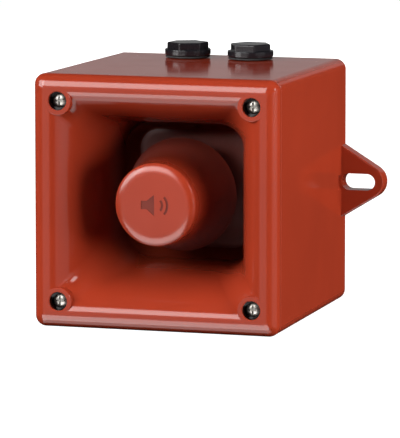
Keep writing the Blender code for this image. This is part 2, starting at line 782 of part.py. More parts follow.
def driver_leads():
    """Two leads from the driver's tags to the plug that fits the board's header."""
    left = CONNECTOR_X - PIN_PITCH / 2
    right = CONNECTOR_X + PIN_PITCH / 2
    red = [
        (0.0384, 0.0442, 0.005),
        (0.0408, 0.0435, 0.007),
        (0.0430, 0.0400, 0.012),
        (0.0425, 0.0335, 0.018),
        (0.0413, 0.0275, 0.0214),
        (left, 0.0233, CONNECTOR_Z),
    ]
    black = [
        (0.0384, 0.0442, -0.005),
        (0.0420, 0.0435, -0.0035),
        (0.0465, 0.0400, 0.004),
        (0.0470, 0.0335, 0.013),
        (0.0446, 0.0275, 0.0205),
        (right, 0.0233, CONNECTOR_Z),
    ]
    span = ((0.0387, 0.0453), (0.015, 0.023), (0.0195, 0.0245))
    shell = box("driver_connector", *span, WHITE_NYLON, 0.0004)
    cut(shell, boxes("connector_holes", pin_spans(0.0014, (0.014, 0.021))))
    return [lead("driver_lead_red", red, LEAD_RED), lead("driver_lead_black", black, LEAD_BLACK), shell]


def pin_spans(side, forward):
    """Boxes of this side length around the header's two pins."""
    spans = []
    for x in (CONNECTOR_X - PIN_PITCH / 2, CONNECTOR_X + PIN_PITCH / 2):
        height = (CONNECTOR_Z - side / 2, CONNECTOR_Z + side / 2)
        spans.append(((x - side / 2, x + side / 2), forward, height))
    return spans


# Electronics

ON_BOARD = BOARD_FRONT + GAP


def circuit_board():
    back = BOARD_FRONT - BOARD_THICKNESS
    forward = (back, BOARD_FRONT)
    board = box("circuit_board", (-BOARD_X, BOARD_X), forward, (BOARD_LOW, BOARD_HIGH), BOARD_GREEN)
    through = (back - WALL, BOARD_FRONT + WALL)
    cut(board, cylinders("board_holes", BOARD_HOLE_RADIUS, through, BOARD_SCREWS, segments=12))
    profile = screw_profile(0.0028, 0.0018, 0.0014, 0.0055)
    profile = [(radius, height + ON_BOARD) for radius, height in profile]
    pattern = turned("board_screw_pattern", profile, steps=12)
    copies("board_screw", pattern, BOARD_SCREWS, PLATED_STEEL)
    header = box("connector_header", (0.0387, 0.0453), (ON_BOARD, 0.0147), (0.0195, 0.0245), WHITE_NYLON)
    join(header, boxes("header_pins", pin_spans(PIN_SIDE, (0.014, 0.020))))


def terminal_block():
    block = box("terminal_block", (-0.0103, 0.0103), (ON_BOARD, 0.0223), (0.029, 0.0375), GREEN_PLASTIC)
    places = [TERMINAL_PITCH * (i - (TERMINAL_COUNT - 1) / 2) for i in range(TERMINAL_COUNT)]
    chambers = [((x - 0.0016, x + 0.0016), (0.0138, 0.0185), (0.0315, 0.039)) for x in places]
    cut(block, boxes("terminal_chambers", chambers))
    centres = [(x, TERMINAL_SCREW_Z) for x in places]
    cut(block, cylinders("terminal_wells", 0.0019, (0.018, 0.024), centres, segments=12))
    profile = [(0, 0.0216), (0.0015, 0.0216), (0.0015, 0.0188), (0, 0.0188)]
    pattern = turned("terminal_screw_pattern", profile, steps=12)
    cut(pattern, box("terminal_screw_slot", (-0.003, 0.003), (0.0210, 0.023), (-0.00025, 0.00025)))
    copies("terminal_screw", pattern, centres, PLATED_STEEL)


def tone_switch():
    body = box("tone_switch", (-0.0455, -0.0375), (ON_BOARD, 0.0178), (0.003, 0.017), BLUE_PLASTIC)
    heights = [TONE_SWITCH_Z + PIN_PITCH * (i - (TONE_SWITCHES - 1) / 2) for i in range(TONE_SWITCHES)]
    slots = [((-0.0433, -0.0397), (0.0162, 0.019), (z - 0.0008, z + 0.0008)) for z in heights]
    cut(body, boxes("tone_slots", slots))
    for number, z in enumerate(heights, 1):
        thickness = (z - 0.0005, z + 0.0005)
        box(f"tone_slider_{number}", (-0.0429, -0.0414), (0.0165, 0.0185), thickness, WHITE_NYLON)


def volume_control():
    x, z = VOLUME_CENTRE
    body = box("volume_control", (-0.045, -0.035), (ON_BOARD, 0.0173), (-0.012, -0.002), BLUE_PLASTIC)
    cut(body, cylinders("volume_well", 0.0036, (0.0145, 0.019), [VOLUME_CENTRE]))
    profile = [(0, 0.0178), (0.0031, 0.0178), (0.0031, 0.0148), (0, 0.0148)]
    rotor = turned("volume_rotor", profile, WHITE_NYLON, steps=20, location=at(x, 0, z))
    cut(rotor, box("rotor_slot", (x - 0.0022, x + 0.0022), (0.0170, 0.019), (z - 0.0004, z + 0.0004)))


def output_transformer():
    core = box("transformer_core", (-0.044, -0.022), (ON_BOARD, 0.0303), (-0.038, -0.024), LAMINATION)
    sides = ((-0.0403, -0.0367), (-0.0293, -0.0257))
    windows = [(x, (0.016, 0.0266), (-0.040, -0.022)) for x in sides]
    cut(core, boxes("core_windows", windows))
    winding = box("transformer_winding", (-0.040, -0.026), (0.0163, 0.0263), (-0.0415, -0.0205), COPPER)
    cut(winding, box("winding_hole", (-0.0370, -0.0290), (0.012, 0.032), (-0.0383, -0.0237)))


def components():
    radius, top = CAPACITOR_RADIUS, CAPACITOR_TOP
    profile = [(0, top), (radius - 0.0006, top), (radius, top - 0.0006), (radius, ON_BOARD), (0, ON_BOARD)]
    pattern = turned("capacitor_pattern", profile, steps=20)
    copies("reservoir_capacitor", pattern, CAPACITORS, BLACK_PLASTIC)
    sink = box("heat_sink", (0.0505, 0.052), (ON_BOARD, 0.0323), (-0.022, -0.002), ALUMINIUM)
    ribs = [((0.0515, 0.056), (0.0135, 0.0318), (z, z + 0.0015)) for z in (-0.0205, -0.0128, -0.0050)]
    join(sink, boxes("sink_ribs", ribs))
    transistor = box("power_transistor", (0.0458, 0.0502), (0.016, 0.025), (-0.017, -0.007), BLACK_PLASTIC)
    join(transistor, box("transistor_tab", (0.0489, 0.05015), (0.0245, 0.031), (-0.0168, -0.0072)))
    legs = [((0.0471, 0.0479), (ON_BOARD, 0.017), (z, z + 0.0008)) for z in (-0.0149, -0.0124, -0.0099)]
    join(transistor, boxes("transistor_legs", legs))
    chip = box("tone_chip", (-0.005, 0.005), (0.0128, 0.0160), (-0.0222, -0.0158), BLACK_PLASTIC)
    legs = []
    for x in (-0.0038, -0.0013, 0.0013, 0.0038):
        for z in (-0.0236, -0.0164):
            legs.append(((x - 0.0003, x + 0.0003), (ON_BOARD, 0.0139), (z, z + 0.0022)))
    join(chip, boxes("chip_legs", legs))


# Cable entries


def stopping_plug(number, x):
    """A hollow hexagon-headed plug with its seal under the flange."""
    seat = case_half(ENTRY_FORWARD)
    centre = at(x, ENTRY_FORWARD, seat)
    upright = (0, 0, 0)
    profile = [
        (0, PLUG_FLANGE_TOP),
        (PLUG_FLANGE_RADIUS - 0.001, PLUG_FLANGE_TOP),
        (PLUG_FLANGE_RADIUS - 0.0003, PLUG_FLANGE_TOP - 0.0003),
        (PLUG_FLANGE_RADIUS, PLUG_FLANGE_TOP - 0.001),
        (PLUG_FLANGE_RADIUS, PLUG_FLANGE_LOW),
        (PLUG_SHANK_RADIUS, PLUG_FLANGE_LOW),
        (PLUG_SHANK_RADIUS, 0.0005 - PLUG_SHANK_LENGTH),
        (PLUG_SHANK_RADIUS - 0.0005, -PLUG_SHANK_LENGTH),
        (PLUG_BORE, -PLUG_SHANK_LENGTH),
        (PLUG_BORE, PLUG_BORE_TOP),
        (0, PLUG_BORE_TOP),
    ]
    placed = {"location": centre, "rotation": upright, "steps": 24}
    plug = turned("entry_plug_" + number, profile, BLACK_PLASTIC, **placed)
    height = PLUG_TOP - PLUG_FLANGE_TOP + 0.001
    bm = bmesh.new()
    bmesh.ops.create_cone(
        bm, cap_ends=True, segments=6, radius1=PLUG_HEX_RADIUS, radius2=PLUG_HEX_RADIUS, depth=height
    )
    middle = centre + Vector((0, 0, PLUG_TOP - height / 2))
    first_corner = math.radians(30)
    turn = (0, 0, PLUG_HEX_ANGLES[number] - first_corner)
    head = from_bmesh("plug_hexagon_" + number, bm, location=middle, rotation=turn)
    join(plug, add_bevel(head, 0.0006, 1))
    inner, outer = SEAL_RADII
    low, high = SEAL_LOW, PLUG_FLANGE_LOW - GAP
    profile = [(outer, high), (outer, low), (inner, low), (inner, high)]
    turned("plug_seal_" + number, profile, BLACK_RUBBER, closed=True, **placed)


def bake_and_shade():
    """Replaces each part's modifiers and curves by their result, shaded smooth where it is round."""
    results = {thing: evaluated_mesh(thing) for thing in PARTS.objects if thing.type != "EMPTY"}
    for thing, mesh in results.items():
        if thing.type == "CURVE":
            bm = bmesh.new()
            bm.from_mesh(mesh)
            bmesh.ops.remove_doubles(bm, verts=bm.verts, dist=0.00001)
            bm.to_mesh(mesh)
            bm.free()
            name, parent, matrix = thing.name, thing.parent, thing.matrix_world.copy()
            bpy.data.objects.remove(thing)
            thing = bpy.data.objects.new(name, mesh)
            PARTS.objects.link(thing)
            thing.parent = parent
            thing.matrix_world = matrix
        thing.modifiers.clear()
        thing.data = mesh
        mesh.shade_smooth()
        mesh.set_sharp_from_angle(angle=ROUND_ANGLE)


def empty(name, children):
    made = bpy.data.objects.new(name, None)
    PARTS.objects.link(made)
    for child in children:
        child.parent = made
    return made


def build():
    casing()
    horn = [front_horn(), *front_fittings(), reentrant_bell(), sound_tube()]
    dome = empty("diaphragm_travel", moving_diaphragm())
    empty("front_assembly", [*horn, *driver(), *driver_leads(), dome])
    circuit_board()
    terminal_block()
    tone_switch()
    volume_control()
    output_transformer()
    components()
    stopping_plug("1", -ENTRY_X)
    stopping_plug("2", ENTRY_X)
    bake_and_shade()


build()
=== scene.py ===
"""The looks of the alarm siren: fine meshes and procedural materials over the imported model.

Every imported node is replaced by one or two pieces. Everything is in metres. "Forward" is measured
from the wall towards the horn's mouth, which is world -Y, and "depth" back from the front face.
Pieces are made in a turned frame, whose X is world X, whose Y is world +Z and whose Z runs forward,
and then turned into the world.
"""

import json
import math

import bmesh
import bpy
from mathutils import Matrix, Vector


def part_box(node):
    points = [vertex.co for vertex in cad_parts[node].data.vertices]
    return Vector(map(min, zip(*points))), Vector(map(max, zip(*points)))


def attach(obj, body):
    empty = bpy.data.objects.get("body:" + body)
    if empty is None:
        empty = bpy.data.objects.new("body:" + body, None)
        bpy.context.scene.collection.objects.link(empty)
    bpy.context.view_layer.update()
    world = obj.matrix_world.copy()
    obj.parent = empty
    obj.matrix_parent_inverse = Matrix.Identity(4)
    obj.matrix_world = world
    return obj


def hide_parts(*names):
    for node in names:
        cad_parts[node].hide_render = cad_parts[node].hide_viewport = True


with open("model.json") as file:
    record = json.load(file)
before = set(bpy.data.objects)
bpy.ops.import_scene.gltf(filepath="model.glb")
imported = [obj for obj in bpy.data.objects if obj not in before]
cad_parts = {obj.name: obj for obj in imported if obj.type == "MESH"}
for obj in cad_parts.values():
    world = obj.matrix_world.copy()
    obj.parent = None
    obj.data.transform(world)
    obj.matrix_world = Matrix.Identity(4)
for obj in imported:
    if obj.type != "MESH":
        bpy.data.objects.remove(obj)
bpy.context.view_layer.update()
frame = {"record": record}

# Casing
HORN_LOW, HORN_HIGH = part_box("front_horn")
HOUSING_LOW, HOUSING_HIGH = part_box("rear_housing")
CASE_DEPTH = -HORN_LOW.y
FRONT_HALF = HORN_HIGH.x
REAR_HALF = 0.066
EDGE_RADIUS = 0.0057
FRONT_RADIUS = 0.0060
FRONT_INSET = 0.0076
FRONT_CORNER = 0.0012
REAR_RADIUS = 0.0008
WALL = 0.003
BACK_WALL = 0.0035
SEAM_DEPTH = 0.008
SEAM_EDGE = 0.00025
GAP = 0.0003
# Keeps apart two faces that would else lie in one plane.
FLUSH = 0.00003
CORNER_STEPS = 14

# Flare
FLARE_MOUTH = 0.0572
FLARE_END = 0.0329
FLARE_LENGTH = 0.014
FLARE_DEPTH = 0.075
FLARE_CORNER = 0.010
FLARE_CORNER_GROWTH = 0.006
FLARE_WALL = 0.003
LIP_HALF = FRONT_HALF - FRONT_INSET - 0.0003
LIP_DEPTH = 0.0062
THROAT_FILLET = 0.009
THROAT_DEPTHS = (0.070, 0.080)

# Screws and pillars, in squares about the axis
SCREW_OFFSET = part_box("cover_screw_4")[1].x - 0.0039
BOSS_RADIUS = 0.0075
BOSS_LENGTH = 0.010
COUNTERBORE_RADIUS = 0.00485
COUNTERBORE_DEPTH = 0.0065
SCREW_HOLE_RADIUS = 0.00235
PILLAR_RADIUS = 0.0065
INSERT_BORE = 0.00335
INSERT_INNER = 0.0021
INSERT_BORE_DEPTH = 0.024
WEB_LONG = (0.055, 0.0648)
WEB_THIN = (0.0517, 0.0543)
WEB_DEPTH = 0.0106
LEDGE_HALF = 0.0609
LEDGE_DEPTHS = (0.0092, 0.0115)
RIB_HALF = 0.0626
RIB_DEPTHS = (0.0020, 0.0061)
SEAL_HALF = 0.0631
SEAL_DEPTHS = (0.0064, 0.0089)
DRIVER_SCREW_OFFSET = 0.0219
DRIVER_BOSS_RADIUS = 0.004
DRIVER_BOSS_DEPTHS = (0.0765, 0.0828)
DRIVER_PILOT_DEPTHS = (0.0763, 0.084)
BOARD_SCREWS = [(-0.049, -0.039), (-0.049, 0.035), (0.049, 0.035)]
BOARD_PILLAR_RADIUS = 0.0035
BOARD_HOLE_RADIUS = 0.0018
BOARD_PILOTS = (0.0055, 0.0120)
BOARD_BACK = 0.0104
ON_BOARD = 0.0123
# Each screw's head, as radius and height, and its shank, as radius and length
COVER_SCREW = ((0.0039, 0.0028), (0.002, 0.0148))
DRIVER_SCREW = ((0.0039, 0.0026), (0.002, 0.011))
BOARD_SCREW = ((0.0028, 0.0018), (0.0014, 0.0055))

# Wall lugs
LUG_THICKNESS = 0.0095
LUG_ROOT = 0.0197
LUG_TIP_X = 0.0805
LUG_TIP_RADIUS = 0.0092
SLOT_RADIUS = 0.0045
SLOT_INNER_X = 0.0706
SCALLOP_RADIUS = 0.006
SCALLOP_LENGTH = 0.006

# Cable entries and their plugs
ENTRY_X = 0.0178
ENTRY_FORWARD = 0.0204
ENTRY_RADIUS = 0.01025
ENTRY_BOSS_RADIUS = 0.0135
ENTRY_BOSS_Z = (0.0585, 0.0645)
ENTRY_HOLE_Z = (0.050, 0.080)
PLUG_FLANGE_RADIUS = 0.0125
PLUG_FLANGE_LOW = 0.00175
PLUG_FLANGE_TOP = 0.005
PLUG_TOP = 0.0087
PLUG_HEX_RADIUS = 0.0115
PLUG_SHANK_RADIUS = 0.0099
PLUG_HEX_ANGLES = {1: math.radians(23), 2: math.radians(-3)}
PLUG_SEAL_INNER = 0.0103
PLUG_END = -0.008
THREAD_PITCH = 0.0015
THREAD_DEPTH = 0.0009

# Bell and tube
CAP_DEPTH = 0.001
CAP_RADIUS = 0.022
CAP_EDGE = 0.0028
CAP_CROWN = 0.0062
MARK_REACH = 0.0085
MARK_DEPTH = 0.0004
MARK_WAVES = (0.0037, 0.0065)
BELL_DEPTH = 0.050
BELL_RADIUS = 0.0303
BELL_WALL = 0.0021
TUBE_RADIUS = 0.0112
TUBE_BORE = 0.0085
TUBE_DEPTH = 0.016
TUBE_FLANGE_RADIUS = 0.026
TUBE_FLANGE_DEPTHS = (0.0783, 0.0813)
FIN_DEPTHS = (0.018, 0.034)

# Driver, as depths and radii
PLATE_DEPTH = 0.0831
PLATE_THICKNESS = 0.0049
RING_DEPTH = 0.0883
YOKE_DEPTH = 0.1066
POLE_RADIUS = 0.0116
DOME_DEPTH = 0.0902
DOME_RADIUS = 0.015
DOME_RISE = 0.0034
DOME_THICKNESS = 0.0005
DRIVER_RINGS = {
    "driver_gasket": 0.014,
    "diaphragm_ring": 0.0195,
    "diaphragm_surround": 0.0153,
    "top_plate": 0.0136,
    "ring_magnet": 0.015,
    "voice_coil": 0.0122,
}

# The two tags' places along the driver's terminal strip
TAG_PLACES = (-0.005, 0.005)

# Leads, as x, forward and z, and the plug that they end in
LEAD_RADIUS = 0.00065
LEAD_END = 0.0233
PLUG_X = 0.042
PLUG_Z = 0.022
PIN_PITCH = 0.00254
PIN_SIDE = 0.00064
PIN_HOLE = 0.0014
SHROUD_TOP = 0.0147
RED_ROUTE = [
    (0.0384, 0.0442, 0.005),
    (0.0408, 0.0435, 0.007),
    (0.0430, 0.0400, 0.012),
    (0.0425, 0.0335, 0.018),
    (0.0413, 0.0275, 0.0214),
]
BLACK_ROUTE = [
    (0.0384, 0.0442, -0.005),
    (0.0420, 0.0435, -0.0035),
    (0.0465, 0.0400, 0.004),
    (0.0470, 0.0335, 0.013),
    (0.0446, 0.0275, 0.0205),
]

# Board
TERMINAL_PITCH = 0.00508
TERMINAL_SCREW_Z = 0.0332
VOLUME_CENTRE = (-0.040, -0.007)

TURN = Matrix.Rotation(math.radians(90), 4, "X")
ROUND_ANGLE = math.radians(32)
BODY_OF = {node: body for body, nodes in frame["record"]["behaviour"]["bodies"].items() for node in nodes}
SLOT_OF = {part["node"]: part["material_slot"] for part in frame["record"]["subparts"]}


def forward_of(depth):
    return CASE_DEPTH - depth


def between(depths):
    """The forward pair between two depths, given shallow first."""
    return (forward_of(depths[1]), forward_of(depths[0]))


def around(middle, half):
    return (middle - half, middle + half)


def span_of(node):
    """A node's box as x, forward and z pairs."""
    low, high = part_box(node)
    return ((low.x, high.x), (-high.y, -low.y), (low.z, high.z))


def case_half(forward):
    """Half the casing's width, which grows from the wall to the front."""
    return REAR_HALF + (FRONT_HALF - REAR_HALF) * forward / CASE_DEPTH


# Material helpers


class Nodes:
    """A material's node tree, with short calls for the nodes that the finishes below use."""

    def __init__(self, name):
        self.material = bpy.data.materials.new(name)
        self.material.use_nodes = True
        self.tree = self.material.node_tree
        self.shader = self.tree.nodes["Principled BSDF"]
        self.place = self.tree.nodes.new("ShaderNodeTexCoord").outputs["Object"]

    def add(self, kind, inputs=(), **settings):
        node = self.tree.nodes.new(kind)
        for key, value in settings.items():
            setattr(node, key, value)
        for key, value in dict(inputs).items():
            self.set(node.inputs[key], value)
        return node

    def set(self, socket, value):
        if isinstance(value, bpy.types.NodeSocket):
            self.tree.links.new(value, socket)
        elif isinstance(value, tuple) and len(value) == 3 and socket.type == "RGBA":
            socket.default_value = (*value, 1)
        else:
            socket.default_value = value

    def shade(self, **inputs):
        for key, value in inputs.items():
            self.set(self.shader.inputs[key.replace("_", " ")], value)

    def noise(self, scale, detail=3, rough=0.55, vector=None, distortion=0.0):
        inputs = {"Vector": vector or self.place, "Scale": scale, "Detail": detail}
        inputs.update({"Roughness": rough, "Distortion": distortion})
        return self.add("ShaderNodeTexNoise", inputs).outputs["Fac"]

    def bands(self, scale, direction):
        inputs = {"Vector": self.place, "Scale": scale}
        return self.add("ShaderNodeTexWave", inputs, bands_direction=direction).outputs["Fac"]

    def spread(self, value, low, high, start=0.0, end=1.0):
        """Maps low..high of a value onto start..end, clamped."""
        inputs = {"Value": value, "From Min": low, "From Max": high, "To Min": start, "To Max": end}
        return self.add("ShaderNodeMapRange", inputs).outputs["Result"]

    def math(self, operation, a, b=0.0):
        return self.add("ShaderNodeMath", {0: a, 1: b}, operation=operation).outputs[0]

    def mix(self, factor, first, second):
        node = self.add("ShaderNodeMix", data_type="RGBA")
        for index, value in ((0, factor), (6, first), (7, second)):
            self.set(node.inputs[index], value)
        return node.outputs[2]

    def bump(self, height, strength, distance, under=None):
        inputs = {"Height": height, "Strength": strength, "Distance": distance}
        if under:
            inputs["Normal"] = under
        return self.add("ShaderNodeBump", inputs).outputs["Normal"]


def moulded(name, colour, roughness, grain=0.05, dust=0.1, shade_and_dulling=None, recess=None, recess_shade=0.05):
    """Injection-moulded plastic: orange peel, faint flow marks and a trace of handling.

    The depth pairs hold where painted shade starts and ends to darken the colour, and then where the gloss
    starts and ends to dull. Recess says where shade is painted into hollows, and the share after it is how
    much of the colour is left there.
    """
    n = Nodes(name)
    dark = tuple(0.93 * c for c in colour)
    light = tuple(min(1, 1.05 * c) for c in colour)
    flow = n.noise(14, 3, 0.5, distortion=0.4)
    tint = n.mix(n.spread(flow, 0.3, 0.7), dark, light)
    pale = tuple(0.75 * c + 0.05 for c in colour)
    rub = n.math("MULTIPLY", n.spread(n.noise(160, 4, 0.65), 0.6, 0.8), n.spread(n.noise(9), 0.52, 0.7))
    tint = n.mix(n.math("MULTIPLY", rub, dust), tint, pale)
    # Painted shade: deep in the horn and behind the cap the colour darkens with depth towards a dark red, and
    # the gloss dulls further in.
    if shade_and_dulling:
        painted_shade = n.spread(depth_of(n), *shade_and_dulling[:2])
        matt = n.spread(depth_of(n), *shade_and_dulling[2:])
        shade_tint = n.mix(n.noise(120, 3), tuple(0.36 * c for c in colour), tuple(0.46 * c for c in colour))
        tint = n.mix(painted_shade, tint, shade_tint)
    # Painted shade in the recesses: the colour there darkens to the given share of itself.
    if recess:
        tint = n.mix(recess(n), tint, tuple(recess_shade * c + 0.003 for c in colour))
    haze = n.spread(n.noise(45, 4, 0.6), 0.35, 0.7, roughness - 0.02, roughness + 0.03)
    rough = n.math("ADD", haze, n.math("MULTIPLY", rub, 0.1))
    if shade_and_dulling:
        rough = n.math("ADD", rough, n.math("MULTIPLY", matt, 0.45))
    peel = n.bump(n.noise(240, 2, 0.5), grain, 0.0003)
    skin = n.bump(n.noise(1100, 2), 0.3 * grain, 0.0001, peel)
    n.shade(Base_Color=tint, Roughness=rough, Normal=skin, IOR=1.5)
    return n.material


def depth_of(n):
    """Depth back from the front face at a point of the front moulding, at rest."""
    height = n.add("ShaderNodeSeparateXYZ", {"Vector": n.place}).outputs["Y"]
    return n.math("ADD", height, CASE_DEPTH)


def in_mark(n):
    """1 in the pictogram's recesses on the cap, where shade is painted."""
    place = n.add("ShaderNodeSeparateXYZ", {"Vector": n.place}).outputs
    squares = [n.math("MULTIPLY", place[axis], place[axis]) for axis in ("X", "Z")]
    near = n.spread(n.math("ADD", *squares), MARK_REACH**2, (MARK_REACH + 0.0002) ** 2, 1, 0)
    low = n.spread(depth_of(n), CAP_DEPTH + 0.0001, CAP_DEPTH + 0.00025)
    shallow = n.spread(depth_of(n), CAP_DEPTH + 0.0006, CAP_DEPTH + 0.0007, 1, 0)
    return n.math("MULTIPLY", n.math("MULTIPLY", near, low), shallow)


def in_wells(n):
    """1 on the walls of the screw wells, where shade is painted, and 0 elsewhere."""
    place = n.add("ShaderNodeSeparateXYZ", {"Vector": n.place}).outputs
    sides = [n.math("SUBTRACT", n.math("ABSOLUTE", place[axis]), SCREW_OFFSET) for axis in ("X", "Z")]
    squares = [n.math("MULTIPLY", side, side) for side in sides]
    away = n.math("SQRT", n.math("ADD", *squares))
    near = n.spread(away, COUNTERBORE_RADIUS + 0.0002, COUNTERBORE_RADIUS + 0.0004, 1, 0)
    deep = n.spread(depth_of(n), 0.0006, 0.0016)
    return n.math("MULTIPLY", near, deep)


def rubber(name, colour, roughness):
    n = Nodes(name)
    tint = n.mix(n.noise(60, 4), tuple(0.75 * c for c in colour), tuple(1.25 * c + 0.01 for c in colour))
    rough = n.spread(n.noise(300, 3), 0.3, 0.7, roughness - 0.08, roughness + 0.08)
    n.shade(Base_Color=tint, Roughness=rough, Normal=n.bump(n.noise(1500, 3), 0.25, 0.0002))
    return n.material


def metal(name, colour, roughness, grain, lines=None, layers=None):
    """Bare or plated metal; lines gives the direction of its turning or drawing marks.

    Layers holds the direction and the pitch of sheets or turns of wire.
    """
    n = Nodes(name)
    patches = n.noise(90, 4, 0.6)
    tint = n.mix(n.spread(patches, 0.35, 0.7), colour, tuple(0.85 * c for c in colour))
    marks = n.noise(700, 4, 0.7)
    if lines:
        scale = {"X": (1, 60, 60), "Y": (60, 1, 60), "Z": (60, 60, 1)}[lines]
        vector = n.add("ShaderNodeMapping", {"Vector": n.place, "Scale": scale}).outputs[0]
        marks = n.noise(40, 4, 0.7, vector)
    rough = n.spread(marks, 0.3, 0.7, roughness - 0.07, roughness + 0.09)
    normal = n.bump(marks, grain, 0.0001)
    if layers:
        direction, pitch = layers
        sheets = n.bands(math.tau / (20 * pitch), direction)
        tint = n.mix(n.spread(sheets, 0, 0.35, 0.7, 0), tint, tuple(0.3 * c for c in colour))
        normal = n.bump(sheets, 0.8, 0.0001, normal)
    n.shade(Base_Color=tint, Metallic=1.0, Roughness=rough, Normal=normal)
    return n.material


RED = (0.31, 0.033, 0.0125)
# Depths where painted shade darkens the colour inside the flare and on the bell behind the cap, then where
# their gloss dulls. The horn's screw wells and the pictogram's recesses also get painted shade.
HORN_SHADE_AND_DULLING = (0.042, 0.070, FLARE_DEPTH - 0.0012, FLARE_DEPTH)
BELL_SHADE_AND_DULLING = (0.004, 0.022, 0.004, 0.040)
RED_HORN = moulded("red_horn", RED, 0.12, 0.02, 0.15, HORN_SHADE_AND_DULLING, in_wells)
RED_BELL = moulded("red_bell", RED, 0.2, 0.03, 0.15, BELL_SHADE_AND_DULLING, in_mark, 0.5)

# The maker, colour and further settings of each slot's finish
FINISHES = {
    "red_plastic": (moulded, RED, 0.12, 0.02, 0.15),
    "black_plastic": (moulded, (0.010, 0.009, 0.011), 0.2),
    "blue_plastic": (moulded, (0.02, 0.09, 0.30), 0.4),
    "green_plastic": (moulded, (0.03, 0.20, 0.08), 0.42),
    "white_nylon": (moulded, (0.74, 0.72, 0.66), 0.42),
    "phenolic": (moulded, (0.16, 0.07, 0.03), 0.5, 0.1),
    "board_green": (moulded, (0.02, 0.13, 0.05), 0.32, 0.05, 0.2),
    "lead_red": (moulded, (0.5, 0.02, 0.02), 0.42),
    "lead_black": (moulded, (0.015, 0.015, 0.015), 0.42),
    "black_rubber": (rubber, (0.012, 0.012, 0.012), 0.75),
    "grey_silicone": (rubber, (0.3, 0.3, 0.29), 0.55),
    "stainless_steel": (metal, (0.36, 0.34, 0.31), 0.3, 0.2),
    "plated_steel": (metal, (0.56, 0.57, 0.58), 0.3, 0.1),
    "brass": (metal, (0.72, 0.50, 0.20), 0.28, 0.15, "Y"),
    "aluminium": (metal, (0.66, 0.67, 0.69), 0.33, 0.25, "Y"),
    "cast_zinc": (metal, (0.42, 0.42, 0.43), 0.48, 0.5),
    "ferrite": (metal, (0.09, 0.09, 0.095), 0.5, 0.4),
    "copper_winding": (metal, (0.62, 0.25, 0.10), 0.3, 0.3, None, ("Y", 0.0004)),
    "lamination": (metal, (0.30, 0.31, 0.33), 0.42, 0.3, None, ("Z", 0.0005)),
}
LOOKS = {slot: maker(slot, *settings) for slot, (maker, *settings) in FINISHES.items()}


# Mesh helpers


def finish_piece(piece, node, look=None, slot=None, weight=True):
    """Shades a piece, gives it its slot's finish and fastens it to its node's body in the node's place."""
    slot = slot or SLOT_OF[node]
    mesh = piece.data
    mesh.materials.clear()
    mesh.materials.append(look or LOOKS[slot])
    mesh.shade_smooth()
    mesh.set_sharp_from_angle(angle=ROUND_ANGLE)
    if weight:
        modifier = piece.modifiers.new("weighted", "WEIGHTED_NORMAL")
        modifier.keep_sharp = True
        modifier.weight = 100
    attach(piece, BODY_OF[node])
    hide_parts(node)
    return piece


def place(name, mesh):
    made = bpy.data.objects.new(name, mesh)
    bpy.context.scene.collection.objects.link(made)
    return made


def from_bmesh(name, bm, matrix=TURN):
    """An object from a bmesh whose points are turned into the world."""
    bm.transform(matrix)
    mesh = bpy.data.meshes.new(name)
    bm.to_mesh(mesh)
    bm.free()
    return place(name, mesh)


def applied(thing):
    """Replaces an object's modifiers by their result."""
    bpy.context.view_layer.update()
    graph = bpy.context.evaluated_depsgraph_get()
    mesh = bpy.data.meshes.new_from_object(thing.evaluated_get(graph))
    thing.modifiers.clear()
    thing.data = mesh
    return thing


def boolean(target, operation, *others):
    for other in others:
        modifier = target.modifiers.new(other.name, "BOOLEAN")
        modifier.operation = operation
        modifier.solver = "MANIFOLD"
        modifier.object = other
        applied(target)
        bpy.data.objects.remove(other)
    return target


def cut(target, *others):
    return boolean(target, "DIFFERENCE", *others)


def join(target, *others):
    return boolean(target, "UNION", *others)


def bevelled(thing, width, segments=3, angle=ROUND_ANGLE):
    modifier = thing.modifiers.new("bevel", "BEVEL")
    modifier.width = width
    modifier.segments = segments
    modifier.limit_method = "ANGLE"
    modifier.angle_limit = angle
    modifier.use_clamp_overlap = True
    return applied(thing)


def arc(centre, radius, start, end, steps):
    """Points along an arc, with angles in degrees."""
    angles = [math.radians(start + (end - start) * i / steps) for i in range(steps + 1)]
    return [(centre[0] + radius * math.cos(a), centre[1] + radius * math.sin(a)) for a in angles]


def corners(offset):
    return [(x, z) for x in (-offset, offset) for z in (-offset, offset)]


def turned(name, profile, steps=96, centre=(0, 0), closed=False, matrix=TURN):
    """Turns (radius, height) points, given from the top down the outer side, about local Z."""
    bm = bmesh.new()
    rings = []
    for radius, height in profile:
        if radius < 1e-7:
            rings.append([bm.verts.new((*centre, height))])
            continue
        angles = [math.tau * i / steps for i in range(steps)]
        points = [(centre[0] + radius * math.cos(a), centre[1] + radius * math.sin(a)) for a in angles]
        rings.append([bm.verts.new((*point, height)) for point in points])
    pairs = list(zip(rings, rings[1:]))
    if closed:
        pairs.append((rings[-1], rings[0]))
    for upper, lower in pairs:
        for i in range(steps):
            j = (i + 1) % steps
            face = [ring[k % len(ring)] for ring, k in ((upper, i), (lower, i), (lower, j), (upper, j))]
            bm.faces.new(list(dict.fromkeys(face)))
    bmesh.ops.recalc_face_normals(bm, faces=bm.faces)
    return from_bmesh(name, bm, matrix)


def rounded(profile, radius, steps=3):
    """The profile with each inner corner of a point list replaced by a small arc."""
    made = [Vector(profile[0])]
    for before, corner, after in zip(profile, profile[1:], profile[2:]):
        before, corner, after = Vector(before), Vector(corner), Vector(after)
        room = min((before - corner).length, (after - corner).length) / 2.2
        reach = min(radius, room)
        start = corner + (before - corner).normalized() * reach
        end = corner + (after - corner).normalized() * reach
        for step in range(steps + 1):
            t = step / steps
            made.append((1 - t) ** 2 * start + 2 * t * (1 - t) * corner + t**2 * end)
    made.append(Vector(profile[-1]))
    return [(max(0, p.x), p.y) for p in made]


def rounded_square(half, corner):
    """Points of a square with round corners, anticlockwise."""
    points = []
    for quarter in range(4):
        start = math.pi / 2 * quarter
        turn = Matrix.Rotation(start, 2)
        centre = turn @ Vector((half - corner, half - corner))
        for step in range(CORNER_STEPS + 1):
            angle = start + math.pi / 2 * step / CORNER_STEPS
            points.append(centre + corner * Vector((math.cos(angle), math.sin(angle))))
    return points


